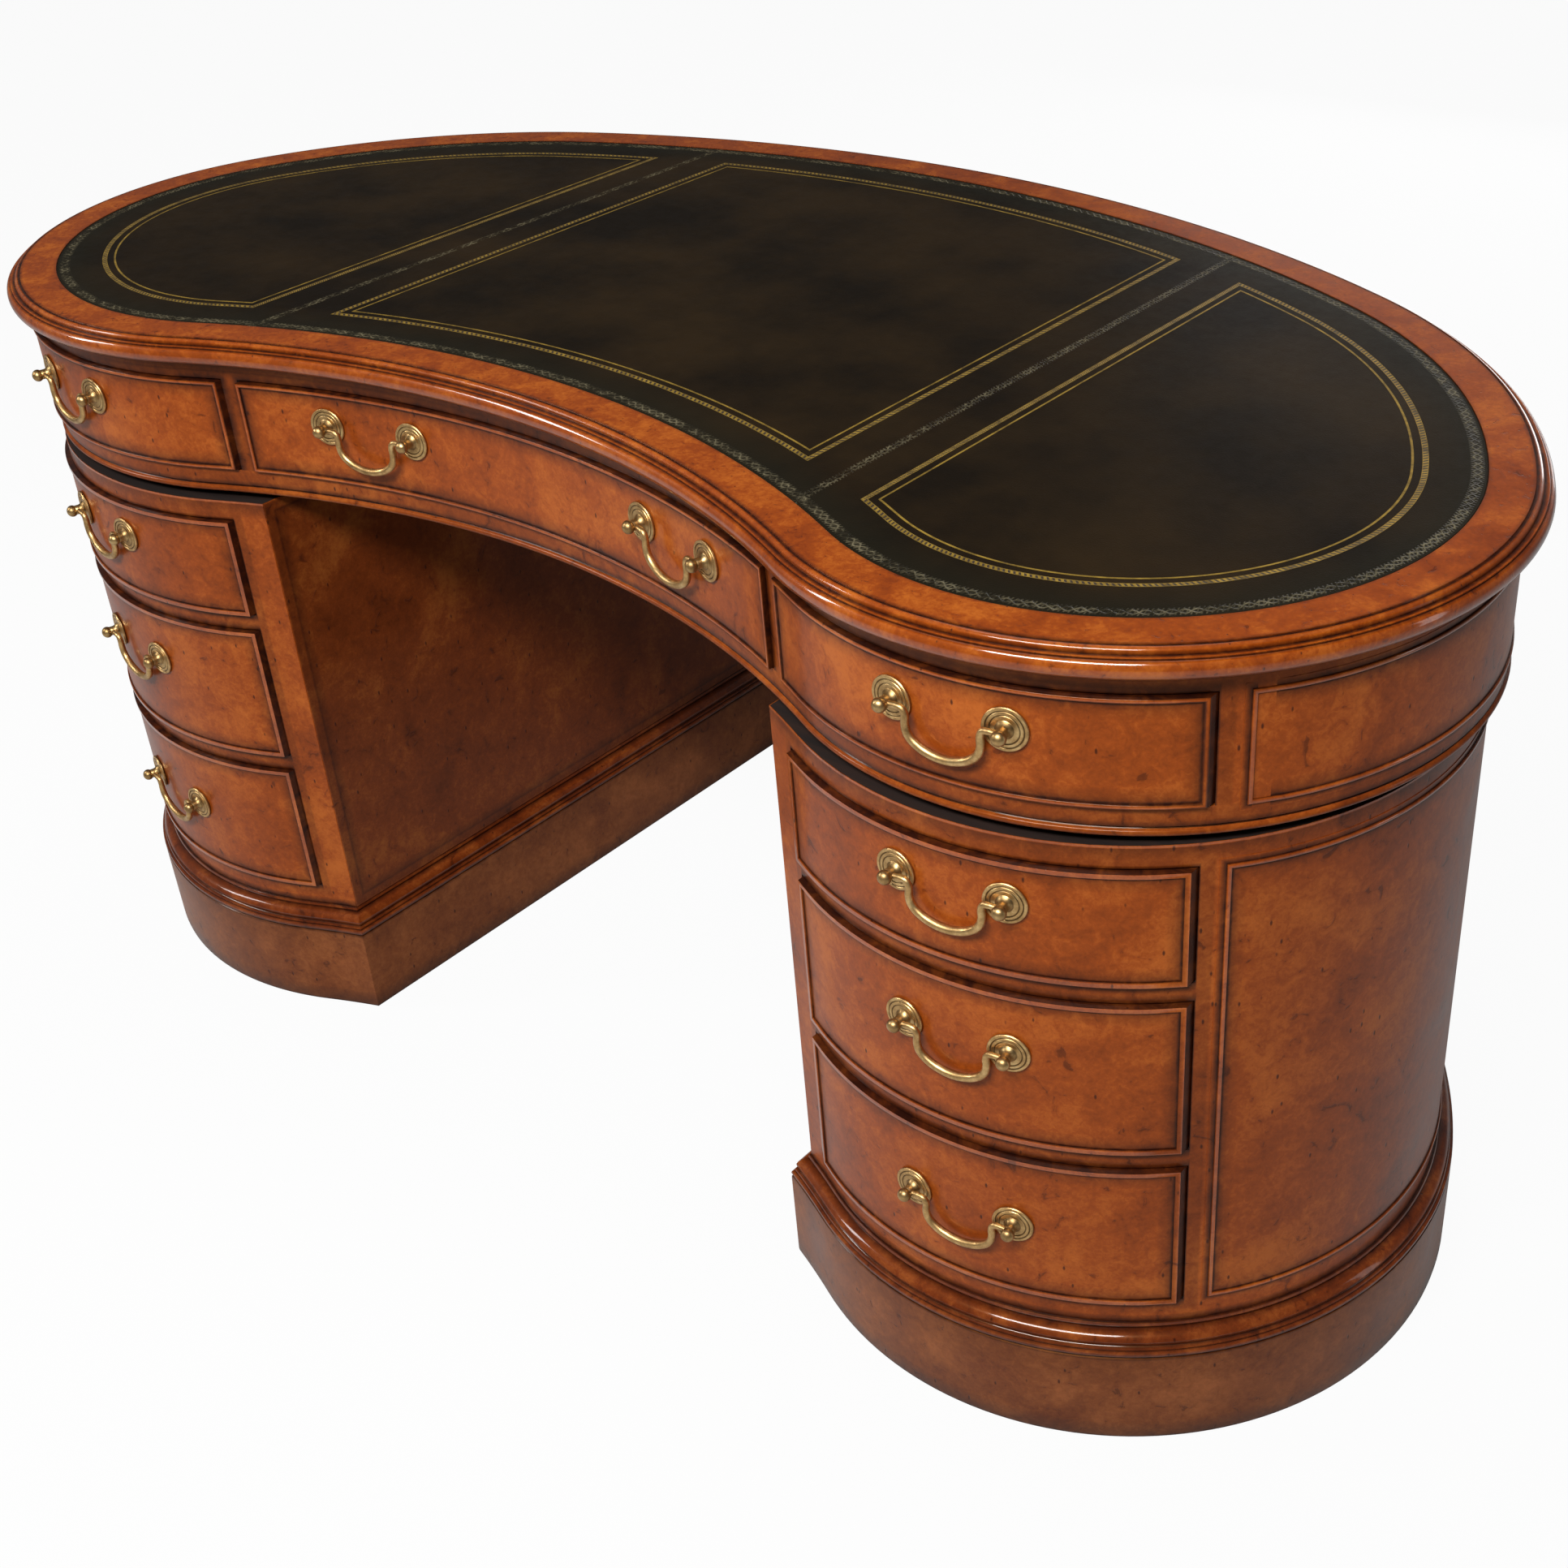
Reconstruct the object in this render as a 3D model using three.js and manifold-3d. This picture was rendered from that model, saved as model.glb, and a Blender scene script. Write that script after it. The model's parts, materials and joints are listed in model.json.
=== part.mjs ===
// A kidney shaped pedestal desk with nine drawers and a leather top.
// Millimetres, +Z up, the sitter at -Y, the floor at z = 0.
import * as THREE from "three";
import { mergeVertices } from "three/addons/utils/BufferGeometryUtils.js";
import Module from "manifold-3d";

const wasm = await Module();
wasm.setup();

// Heights of the stack, from the floor up
const PLINTH_HEIGHT = 99;
const BASE_MOULDING_HEIGHT = 26.5;
const CARCASE_HEIGHT = 487;
const LOCATOR_HEIGHT = 7.5;
const FRIEZE_BASE_HEIGHT = 24;
const FRIEZE_WALL_HEIGHT = 114;
const TOP_THICKNESS = 22;

// Plan of the kidney at the leather's edge: four arcs to each side that meet on shared tangents
const FRONT_RADIUS = 920.4;
const LOBE_RADIUS = 268.7;
const END_RADIUS = 520;
const LOBE_BEARING = 1.1273;
const LOBE_END_ANGLE = 0.4231;
const BACK_ANGLE = 1.1427;
const FRONT_STEPS = 8;
const LOBE_STEPS = 18;
const END_STEPS = 8;
const BACK_STEPS = 8;
const TRIMMED_STEPS = 3;

// Plan of the pedestals, told by how far they stand out from the kidney's arcs
const PEDESTAL_FRONT_OUT = 37.7;
const PEDESTAL_LOBE_OUT = 27.3;
const PEDESTAL_END_OUT = 40;
const KNEEHOLE_WIDTH = 661.4;

// Top board: flat rim, then a quarter round, a fillet, a step and a full roll
const RIM_WIDTH = 36.5;
const BEAD_RADIUS = 5;
const FILLET_WIDTH = 4.5;
const FILLET_STEP = 2;
const ROLL_OUT = 5;
const ROLL_STEPS = 4;
const LEATHER_THICKNESS = 1.2;
const LEATHER_GAP = 0.4;
const LEATHER_SEAM_INSET = 9.5;

// Frieze: the kidney box that holds the three upper drawers
const FRIEZE_OUT = 30.5;
const FRIEZE_WALL = 20;
const FRIEZE_BEAD_HEIGHT = 7;
const FRIEZE_BEAD_OUT = 3;
const FRIEZE_TOP_RAIL = 20;
const FRIEZE_PARTITION = 16;
const FRIEZE_STILE = 90.4;
const CENTRE_OPENING_INSET = 3.3;

// Pedestal carcases
const CARCASE_WALL = 18;
const INNER_STILE = 33;
const OUTER_STILE = 89.3;
const BOTTOM_RAIL = 24;
const MIDDLE_RAIL = 17;
const TOP_RAIL = 20;
const LOWER_OPENING_SHARE = 0.3692;
const MIDDLE_OPENING_SHARE = 0.3692;
const GUIDE_WIDTH = 14;
const GUIDE_HEIGHT = 25;
const LOCATOR_INSET = 26;

// Plinths and base mouldings
const PLINTH_OUT = 17.5;
const PLINTH_WALL = 25;
const MOULDING_WALL = 35;
const MOULDING_TOP_OUT = 2.5;
const MOULDING_BEAD_HEIGHT = 5;
const MOULDING_ROLL_OUT = 13;
const MOULDING_FOOT_HEIGHT = 6;

// Drawers
const FRONT_PROUD = 6;
const FRONT_DEPTH = 14;
const FRONT_GAP = 1.5;
const COCKBEAD_WIDTH = 4;
const COCKBEAD_PROUD = 1.8;
const TRAY_WALL = 10;
const TRAY_FLOOR = 6;
const TRAY_SIDE_GAP = 1;
const TRAY_LIFT = 0.4;
const TRAY_HEADROOM = 20;
const TRAY_BACK_GAP = 32;
const SEAT_GAP = 0.3;

// Handles: two posts with roses, and a bail that hangs between them
const HANDLE_SPACING = 96;
const ROSE_RADIUS = 18;
const ROSE_THICKNESS = 2.6;
const ROSE_GAP = 0.2;
const BOSS_RADIUS = 9;
const COLLAR_RADIUS = 5;
const COLLAR_HALF_WIDTH = 3;
const PIVOT_OUT = 9.5;
const BALL_RADIUS = 6;
const BALL_OUT = 14;
const POST_SIDES = 8;
const PIN_RADIUS = 1.9;
const PIN_HOLE_RADIUS = 2.6;
const PIN_TIP_INSET = 1;
const ARM_START = 7;
const ARM_RADIUS = 2.6;
const BAIL_DROP = 34.5;
const BAIL_MIDDLE_RADIUS = 3.7;
const BAIL_STEPS = 16;
const BAIL_SIDES = 6;
const SIDE_HANDLE_SHARE = 0.5366;
const CENTRE_HANDLE_SHARE = 0.587;
const FRIEZE_HANDLE_RISE = 12;
const UPPER_HANDLE_RISE = 16;
const MIDDLE_HANDLE_RISE = 18;
const LOWER_HANDLE_RISE = 3;

// Reach of a cut that has to pass through everything in its way
const OVERRUN = 1200;

// Levels worked out from the heights
const MOULDING_Z = PLINTH_HEIGHT;
const CARCASE_Z = MOULDING_Z + BASE_MOULDING_HEIGHT;
const LOCATOR_Z = CARCASE_Z + CARCASE_HEIGHT;
const FRIEZE_Z = LOCATOR_Z + LOCATOR_HEIGHT;
const FRIEZE_WALL_Z = FRIEZE_Z + FRIEZE_BASE_HEIGHT;
const TOP_Z = FRIEZE_WALL_Z + FRIEZE_WALL_HEIGHT;
const DESK_Z = TOP_Z + TOP_THICKNESS;
const DRAWER_ROOM = CARCASE_HEIGHT - BOTTOM_RAIL - MIDDLE_RAIL - MIDDLE_RAIL - TOP_RAIL;
const LOWER_OPENING_HEIGHT = DRAWER_ROOM * LOWER_OPENING_SHARE;
const MIDDLE_OPENING_HEIGHT = DRAWER_ROOM * MIDDLE_OPENING_SHARE;
const UPPER_OPENING_HEIGHT = DRAWER_ROOM - LOWER_OPENING_HEIGHT - MIDDLE_OPENING_HEIGHT;
const LOWER_OPENING_Z = CARCASE_Z + BOTTOM_RAIL;
const MIDDLE_OPENING_Z = LOWER_OPENING_Z + LOWER_OPENING_HEIGHT + MIDDLE_RAIL;
const UPPER_OPENING_Z = MIDDLE_OPENING_Z + MIDDLE_OPENING_HEIGHT + MIDDLE_RAIL;
const FRIEZE_OPENING_HEIGHT = FRIEZE_WALL_HEIGHT - FRIEZE_TOP_RAIL;

// Materials
const mahogany = new THREE.MeshStandardMaterial({ color: "#7a3a1a", roughness: 0.35 });
const rimVeneer = new THREE.MeshStandardMaterial({ color: "#9c5220", roughness: 0.3 });
const drawerPine = new THREE.MeshStandardMaterial({ color: "#b08a5c", roughness: 0.7 });
const leather = new THREE.MeshStandardMaterial({ color: "#2b241a", roughness: 0.45 });
const brass = new THREE.MeshStandardMaterial({ color: "#a98a45", roughness: 0.3, metalness: 1 });

// A closed geometry as a solid that can be joined and cut
function solidOf(geometry) {
  geometry.deleteAttribute("normal");
  geometry.deleteAttribute("uv");
  const merged = mergeVertices(geometry);
  const vertProperties = new Float32Array(merged.attributes.position.array);
  const triVerts = new Uint32Array(merged.index.array);
  return new wasm.Manifold(new wasm.Mesh({ numProp: 3, vertProperties, triVerts }));
}

// A solid as a named mesh
function piece(name, solid, material) {
  const { vertProperties, triVerts } = solid.getMesh();
  const geometry = new THREE.BufferGeometry();
  geometry.setAttribute("position", new THREE.BufferAttribute(vertProperties, 3));
  geometry.setIndex(new THREE.BufferAttribute(triVerts, 1));
  geometry.computeVertexNormals();
  const mesh = new THREE.Mesh(geometry, material);
  mesh.name = name;
  return mesh;
}

// Rings of equally many points joined in turn, closed at both ends by a section, or else in a ring
function loft(rings, section) {
  const size = rings[0].length;
  const points = rings.flat();
  const faces = [];
  const bands = section ? rings.length - 1 : rings.length;
  for (let band = 0; band < bands; band += 1) {
    const low = band * size;
    const high = ((band + 1) % rings.length) * size;
    for (let step = 0; step < size; step += 1) {
      const next = (step + 1) % size;
      faces.push(low + step, low + next, high + next);
      faces.push(low + step, high + next, high + step);
    }
  }
  if (section) {
    const last = points.length - size;
    for (const [a, b, c] of THREE.ShapeUtils.triangulateShape(section, [])) {
      faces.push(c, b, a);
      faces.push(last + a, last + b, last + c);
    }
  }
  const geometry = new THREE.BufferGeometry().setFromPoints(points);
  geometry.setIndex(faces);
  return solidOf(geometry);
}

// A plan loop lifted to a level
function lifted(loop, z) {
  return loop.map((point) => new THREE.Vector3(point.x, point.y, z));
}

// A solid whose edge follows a profile of [out, z] rows, from its underside to its top
function board(loopAt, profile) {
  const rings = profile.map(([out, z]) => lifted(loopAt(out), z));
  return loft(rings, loopAt(profile[0][0]));
}

// A hollow frame whose wall has a closed profile: up the outside, then down the inside
function frame(loopAt, profile) {
  return loft(profile.map(([out, z]) => lifted(loopAt(out), z)));
}

// A box given by its limits, on the right (side 1) or mirrored to the left (side -1)
function box(side, x0, x1, y0, y1, z0, z1) {
  const geometry = new THREE.BoxGeometry(x1 - x0, y1 - y0, z1 - z0);
  geometry.translate((side * (x0 + x1)) / 2, (y0 + y1) / 2, (z0 + z1) / 2);
  return solidOf(geometry);
}

function polar(centre, radius, angle) {
  const x = centre.x + radius * Math.cos(angle);
  const y = centre.y + radius * Math.sin(angle);
  return new THREE.Vector2(x, y);
}

// The four arcs of the right half. A bulge of -1 marks the hollow arc, which shrinks as a loop grows.
function arcsOf(frontRadius, lobeRadius, endRadius) {
  const frontCentre = new THREE.Vector2(0, -FRONT_RADIUS);
  const lobeCentre = polar(frontCentre, frontRadius + lobeRadius, LOBE_BEARING);
  const endCentre = polar(lobeCentre, lobeRadius - endRadius, LOBE_END_ANGLE);
  const backRadius = endRadius + endCentre.x / Math.cos(BACK_ANGLE);
  const backCentre = polar(endCentre, endRadius - backRadius, BACK_ANGLE);
  return {
    front: { centre: frontCentre, radius: frontRadius, bulge: -1 },
    lobe: { centre: lobeCentre, radius: lobeRadius, bulge: 1 },
    end: { centre: endCentre, radius: endRadius, bulge: 1 },
    back: { centre: backCentre, radius: backRadius, bulge: 1 },
  };
}

const KIDNEY = arcsOf(FRONT_RADIUS, LOBE_RADIUS, END_RADIUS);
const PEDESTAL = arcsOf(
  FRONT_RADIUS - PEDESTAL_FRONT_OUT,
  LOBE_RADIUS + PEDESTAL_LOBE_OUT,
  END_RADIUS + PEDESTAL_END_OUT,
);

function radiusAt(arc, out) {
  return arc.radius + arc.bulge * out;
}

// How far an outline's lobe reaches to the side when it stands out by a distance
function reachOf(arcs, out) {
  return arcs.lobe.centre.x + radiusAt(arcs.lobe, out);
}

// Distances from the middle of the desk, along X
const KNEEHOLE_X = KNEEHOLE_WIDTH / 2;
const LEATHER_SEAM_X = KNEEHOLE_X + LEATHER_SEAM_INSET;
const CENTRE_OPENING_X = KNEEHOLE_X + CENTRE_OPENING_INSET;
const SIDE_OPENING_X = CENTRE_OPENING_X + FRIEZE_PARTITION;
const SIDE_OPENING_END = reachOf(KIDNEY, FRIEZE_OUT) - FRIEZE_STILE;
const PEDESTAL_OPENING_X = KNEEHOLE_X + INNER_STILE;
const PEDESTAL_OPENING_END = reachOf(PEDESTAL, 0) - OUTER_STILE;
const SIDE_HANDLE_X = THREE.MathUtils.lerp(SIDE_OPENING_X, SIDE_OPENING_END, SIDE_HANDLE_SHARE);
const CENTRE_HANDLE_X = CENTRE_OPENING_X * CENTRE_HANDLE_SHARE;

// Back of the trays, short of the place where the curved wall closes in on their outer corner
const WALL_RADIUS = radiusAt(PEDESTAL.end, -CARCASE_WALL);
const CORNER_ANGLE = Math.acos((PEDESTAL_OPENING_END - PEDESTAL.end.centre.x) / WALL_RADIUS);
const TRAY_BACK_Y = polar(PEDESTAL.end.centre, WALL_RADIUS, CORNER_ANGLE).y - TRAY_BACK_GAP;

// Points along an arc that stands out by a distance, without the last one
function along(arc, out, from, to, steps) {
  const points = [];
  for (let step = 0; step < steps; step += 1) {
    const angle = from + ((to - from) * step) / steps;
    points.push(polar(arc.centre, radiusAt(arc, out), angle));
  }
  return points;
}

// Lobe and end of either outline, shared by the kidney and the pedestals
function lobeOf(arcs, out) {
  return along(arcs.lobe, out, LOBE_BEARING - Math.PI, LOBE_END_ANGLE, LOBE_STEPS);
}

function endOf(arcs, out) {
  return along(arcs.end, out, LOBE_END_ANGLE, BACK_ANGLE, END_STEPS);
}

function mirrored(points) {
  return points.map((point) => new THREE.Vector2(-point.x, point.y)).reverse();
}

// The whole kidney, standing out from the leather's edge by a distance
function kidneyLoop(out) {
  const middle = Math.PI / 2;
  const front = along(KIDNEY.front, out, middle, LOBE_BEARING, FRONT_STEPS);
  const back = along(KIDNEY.back, out, BACK_ANGLE, middle, BACK_STEPS);
  const backMiddle = polar(KIDNEY.back.centre, radiusAt(KIDNEY.back, out), middle);
  const right = [...front.slice(1), ...lobeOf(KIDNEY, out), ...endOf(KIDNEY, out), ...back];
  return [front[0], ...right, backMiddle, ...mirrored(right)];
}

// Front of a pedestal, from a cut in its hollow arc, or in its lobe where the kneehole is that wide
function pedestalFront(out, cutX) {
  const { front, lobe } = PEDESTAL;
  const hollowCut = Math.acos(cutX / radiusAt(front, out));
  if (hollowCut > LOBE_BEARING) {
    const hollow = along(front, out, hollowCut, LOBE_BEARING, TRIMMED_STEPS);
    return [...hollow, ...lobeOf(PEDESTAL, out)];
  }
  const lobeCut = -Math.acos((cutX - lobe.centre.x) / radiusAt(lobe, out));
  return along(lobe, out, lobeCut, LOBE_END_ANGLE, TRIMMED_STEPS + LOBE_STEPS);
}

// One pedestal, cut straight along the kneehole
function pedestalLoop(side, out) {
  const cutX = KNEEHOLE_X - out;
  const backCut = Math.acos(cutX / radiusAt(PEDESTAL.back, out));
  const right = [
    ...pedestalFront(out, cutX),
    ...endOf(PEDESTAL, out),
    ...along(PEDESTAL.back, out, BACK_ANGLE, backCut, TRIMMED_STEPS),
    polar(PEDESTAL.back.centre, radiusAt(PEDESTAL.back, out), backCut),
  ];
  return side > 0 ? right : mirrored(right);
}

// Top board, with a shallow recess for the leather
function topBoard() {
  const fillet = RIM_WIDTH + BEAD_RADIUS + FILLET_WIDTH;
  const rollTop = DESK_Z - BEAD_RADIUS - FILLET_STEP;
  const rollHalf = (rollTop - TOP_Z) / 2;
  const profile = [];
  for (let step = 0; step <= ROLL_STEPS; step += 1) {
    const turn = (Math.PI * step) / ROLL_STEPS;
    const out = fillet + ROLL_OUT * Math.sin(turn);
    profile.push([out, TOP_Z + rollHalf - rollHalf * Math.cos(turn)]);
  }
  const beadTurn = Math.PI / 4;
  const beadMiddle = RIM_WIDTH + BEAD_RADIUS * Math.sin(beadTurn);
  profile.push(
    [fillet, rollTop + FILLET_STEP],
    [RIM_WIDTH + BEAD_RADIUS, DESK_Z - BEAD_RADIUS],
    [beadMiddle, DESK_Z - BEAD_RADIUS + BEAD_RADIUS * Math.cos(beadTurn)],
    [RIM_WIDTH, DESK_Z],
    [0, DESK_Z],
    [0, DESK_Z - LEATHER_THICKNESS],
  );
  return board(kidneyLoop, profile);
}

// The leather skin between two distances along X
function leatherSkin(from, to) {
  const floor = DESK_Z - LEATHER_THICKNESS;
  const skin = board(kidneyLoop, [[-LEATHER_GAP, floor], [-LEATHER_GAP, DESK_Z]]);
  return skin.intersect(box(1, from, to, -OVERRUN, OVERRUN, floor - OVERRUN, OVERRUN));
}

// Bottom of the frieze, with a bead along its lower edge
function friezeBase() {
  const chamfer = FRIEZE_BEAD_OUT / 2;
  const beadOut = FRIEZE_OUT + FRIEZE_BEAD_OUT;
  return board(kidneyLoop, [
    [FRIEZE_OUT, FRIEZE_Z],
    [beadOut, FRIEZE_Z + chamfer],
    [beadOut, FRIEZE_Z + FRIEZE_BEAD_HEIGHT - chamfer],
    [FRIEZE_OUT, FRIEZE_Z + FRIEZE_BEAD_HEIGHT],
    [FRIEZE_OUT, FRIEZE_WALL_Z],
  ]);
}

// Wall of the frieze, with its drawer openings and the partitions between the drawers
function friezeWall() {
  const inner = FRIEZE_OUT - FRIEZE_WALL;
  const openingTop = FRIEZE_WALL_Z + FRIEZE_OPENING_HEIGHT;
  let wall = frame(kidneyLoop, [
    [FRIEZE_OUT, FRIEZE_WALL_Z],
    [FRIEZE_OUT, TOP_Z],
    [inner, TOP_Z],
    [inner, FRIEZE_WALL_Z],
  ]);
  const opening = (side, from, to) =>
    box(side, from, to, -OVERRUN, TRAY_BACK_Y, FRIEZE_WALL_Z - OVERRUN, openingTop);
  wall = wall.subtract(opening(1, -CENTRE_OPENING_X, CENTRE_OPENING_X));
  const outline = board(kidneyLoop, [[FRIEZE_OUT, FRIEZE_WALL_Z], [FRIEZE_OUT, TOP_Z]]);
  for (const side of [-1, 1]) {
    wall = wall.subtract(opening(side, SIDE_OPENING_X, SIDE_OPENING_END));
    for (const x of [CENTRE_OPENING_X, SIDE_OPENING_END]) {
      const slab = box(side, x, x + FRIEZE_PARTITION, -OVERRUN, OVERRUN, FRIEZE_WALL_Z, TOP_Z);
      wall = wall.add(slab.intersect(outline));
    }
  }
  return wall;
}

// The drawers of a pedestal: each opening's bottom and height, and how far the handle sits above its middle
const PEDESTAL_DRAWERS = [
  { level: "lower", z: LOWER_OPENING_Z, height: LOWER_OPENING_HEIGHT, rise: LOWER_HANDLE_RISE },
  { level: "middle", z: MIDDLE_OPENING_Z, height: MIDDLE_OPENING_HEIGHT, rise: MIDDLE_HANDLE_RISE },
  { level: "upper", z: UPPER_OPENING_Z, height: UPPER_OPENING_HEIGHT, rise: UPPER_HANDLE_RISE },
];

// Pedestal: curved walls, a dustboard under each drawer, guides beside the trays and a raised locator
function pedestalCarcase(side) {
  const loopAt = (out) => pedestalLoop(side, out);
  let carcase = board(loopAt, [[0, CARCASE_Z], [0, LOCATOR_Z]]);
  for (const { z, height } of PEDESTAL_DRAWERS) {
    const guide = (from, to) => box(side, from, to, -OVERRUN, TRAY_BACK_Y, z, z + GUIDE_HEIGHT);
    const hollow = board(loopAt, [[-CARCASE_WALL, z], [-CARCASE_WALL, z + height]])
      .subtract(guide(KNEEHOLE_X, PEDESTAL_OPENING_X))
      .subtract(guide(PEDESTAL_OPENING_END, PEDESTAL_OPENING_END + GUIDE_WIDTH));
    const opening = box(
      side,
      PEDESTAL_OPENING_X,
      PEDESTAL_OPENING_END,
      -OVERRUN,
      TRAY_BACK_Y,
      z,
      z + height,
    );
    carcase = carcase.subtract(hollow).subtract(opening);
  }
  const locator = board(loopAt, [[-LOCATOR_INSET, LOCATOR_Z], [-LOCATOR_INSET, FRIEZE_Z]]);
  return carcase.add(locator);
}

// Base moulding: a small bead, a swelling roll and a foot that is flush with the plinth
function baseMoulding(side) {
  const beadZ = CARCASE_Z - MOULDING_BEAD_HEIGHT;
  const footZ = MOULDING_Z + MOULDING_FOOT_HEIGHT;
  const rollMiddle = (beadZ + footZ) / 2;
  const rollShoulder = (MOULDING_TOP_OUT + MOULDING_ROLL_OUT) / 2;
  const inner = PLINTH_OUT - MOULDING_WALL;
  return frame((out) => pedestalLoop(side, out), [
    [PLINTH_OUT, MOULDING_Z],
    [PLINTH_OUT, footZ],
    [MOULDING_ROLL_OUT, footZ],
    [MOULDING_ROLL_OUT, rollMiddle],
    [rollShoulder, beadZ],
    [MOULDING_TOP_OUT, beadZ],
    [MOULDING_TOP_OUT, CARCASE_Z],
    [inner, CARCASE_Z],
    [inner, MOULDING_Z],
  ]);
}

function plinth(side) {
  const inner = PLINTH_OUT - PLINTH_WALL;
  return frame((out) => pedestalLoop(side, out), [
    [PLINTH_OUT, 0],
    [PLINTH_OUT, PLINTH_HEIGHT],
    [inner, PLINTH_HEIGHT],
    [inner, 0],
  ]);
}

// Drawer front: a curved board that stands proud of its face, with a cockbead round a lower field
function drawerFront(spec) {
  const { side, x0, x1, z, height, face, loopAt } = spec;
  const left = x0 + FRONT_GAP;
  const right = x1 - FRONT_GAP;
  const bottom = z + FRONT_GAP;
  const top = z + height - FRONT_GAP;
  const levels = [bottom - OVERRUN, top + OVERRUN];
  const upTo = (out) => board(loopAt, levels.map((level) => [out, level]));
  const outer = upTo(face + FRONT_PROUD);
  const field = upTo(face + FRONT_PROUD - COCKBEAD_PROUD);
  const back = upTo(face - FRONT_DEPTH);
  const bead = COCKBEAD_WIDTH;
  const block = box(side, left, right, -OVERRUN, TRAY_BACK_Y, bottom, top);
  const window = box(
    side,
    left + bead,
    right - bead,
    -OVERRUN,
    TRAY_BACK_Y,
    bottom + bead,
    top - bead,
  );
  return outer.intersect(block).subtract(window.subtract(field)).subtract(back);
}

// Tray behind the front: a floor, two sides and a back
function drawerTray(spec) {
  const { side, x0, x1, z, height, face, loopAt } = spec;
  const left = x0 + TRAY_SIDE_GAP;
  const right = x1 - TRAY_SIDE_GAP;
  const bottom = z + TRAY_LIFT;
  const top = z + height - TRAY_HEADROOM;
  const out = face - FRONT_DEPTH - SEAT_GAP;
  const inside = board(loopAt, [[out, bottom - OVERRUN], [out, top + OVERRUN]]);
  const block = box(side, left, right, -OVERRUN, TRAY_BACK_Y, bottom, top);
  const room = box(
    side,
    left + TRAY_WALL,
    right - TRAY_WALL,
    -OVERRUN,
    TRAY_BACK_Y - TRAY_WALL,
    bottom + TRAY_FLOOR,
    top + OVERRUN,
  );
  return block.intersect(inside).subtract(room);
}

// Post: a ringed rose, a boss, a collar that takes the bail's pin, and a ball
function handlePost(end, lean) {
  const collarStart = PIVOT_OUT - COLLAR_HALF_WIDTH;
  const collarEnd = PIVOT_OUT + COLLAR_HALF_WIDTH;
  const profile = [
    [0, 0],
    [ROSE_RADIUS, 0],
    [ROSE_RADIUS, ROSE_THICKNESS / 2],
    [BOSS_RADIUS, ROSE_THICKNESS],
    [COLLAR_RADIUS, collarStart],
    [COLLAR_RADIUS, collarEnd],
    [BALL_RADIUS, BALL_OUT],
    [BALL_RADIUS * Math.SQRT1_2, BALL_OUT + BALL_RADIUS * Math.SQRT1_2],
    [0, BALL_OUT + BALL_RADIUS],
  ];
  const turned = new THREE.LatheGeometry(
    profile.map(([radius, rise]) => new THREE.Vector2(radius, rise)),
    POST_SIDES,
  );
  turned.rotateX(Math.PI);
  const depth = BALL_RADIUS + ARM_START;
  const drill = new THREE.CylinderGeometry(PIN_HOLE_RADIUS, PIN_HOLE_RADIUS, depth, POST_SIDES);
  drill.translate(0, depth / 2 - PIN_TIP_INSET, 0);
  drill.rotateZ((end * Math.PI) / 2 - lean);
  drill.translate(0, -PIVOT_OUT, 0);
  return solidOf(turned).subtract(solidOf(drill));
}

// Half of the bail from its pin to its lowest point, as shares of the half spacing and of the drop
const BAIL_SHARES = [
  [0.79, 0],
  [0.69, 0.03],
  [0.645, 0.16],
  [0.65, 0.38],
  [0.605, 0.62],
  [0.46, 0.82],
  [0.25, 0.95],
];

// Bail: a swan neck bar that thickens towards its middle, with a pin at each end
function handleBail() {
  const half = HANDLE_SPACING / 2;
  const arm = BAIL_SHARES.map(([x, z]) => new THREE.Vector3(-x * half, 0, -z * BAIL_DROP));
  const other = arm.map((point) => new THREE.Vector3(-point.x, 0, point.z)).reverse();
  const curve = new THREE.CatmullRomCurve3([...arm, new THREE.Vector3(0, 0, -BAIL_DROP), ...other]);
  const stations = curve.getSpacedPoints(BAIL_STEPS).map((point, index) => {
    const middleShare = Math.sin((Math.PI * index) / BAIL_STEPS) ** 2;
    const radius = ARM_RADIUS + (BAIL_MIDDLE_RADIUS - ARM_RADIUS) * middleShare;
    const tangent = curve.getTangentAt(index / BAIL_STEPS);
    return { point, radius, tangent };
  });
  const straight = new THREE.Vector3(1, 0, 0);
  const at = (x, radius) => ({ point: new THREE.Vector3(x, 0, 0), radius, tangent: straight });
  const tip = half - PIN_TIP_INSET / 2;
  const shoulder = half - ARM_START;
  const rows = [
    at(-tip, PIN_RADIUS),
    at(-shoulder, PIN_RADIUS),
    at(-shoulder, ARM_RADIUS),
    ...stations,
    at(shoulder, ARM_RADIUS),
    at(shoulder, PIN_RADIUS),
    at(tip, PIN_RADIUS),
  ];
  const section = [];
  for (let corner = 0; corner < BAIL_SIDES; corner += 1) {
    const angle = (2 * Math.PI * corner) / BAIL_SIDES;
    section.push(new THREE.Vector2(Math.cos(angle), Math.sin(angle)));
  }
  const across = new THREE.Vector3(0, 1, 0);
  const rings = rows.map(({ point, radius, tangent }) => {
    const up = new THREE.Vector3().crossVectors(across, tangent);
    return section.map((corner) =>
      point
        .clone()
        .addScaledVector(up, radius * corner.x)
        .addScaledVector(across, radius * corner.y),
    );
  });
  return loft(rings, section);
}

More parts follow.
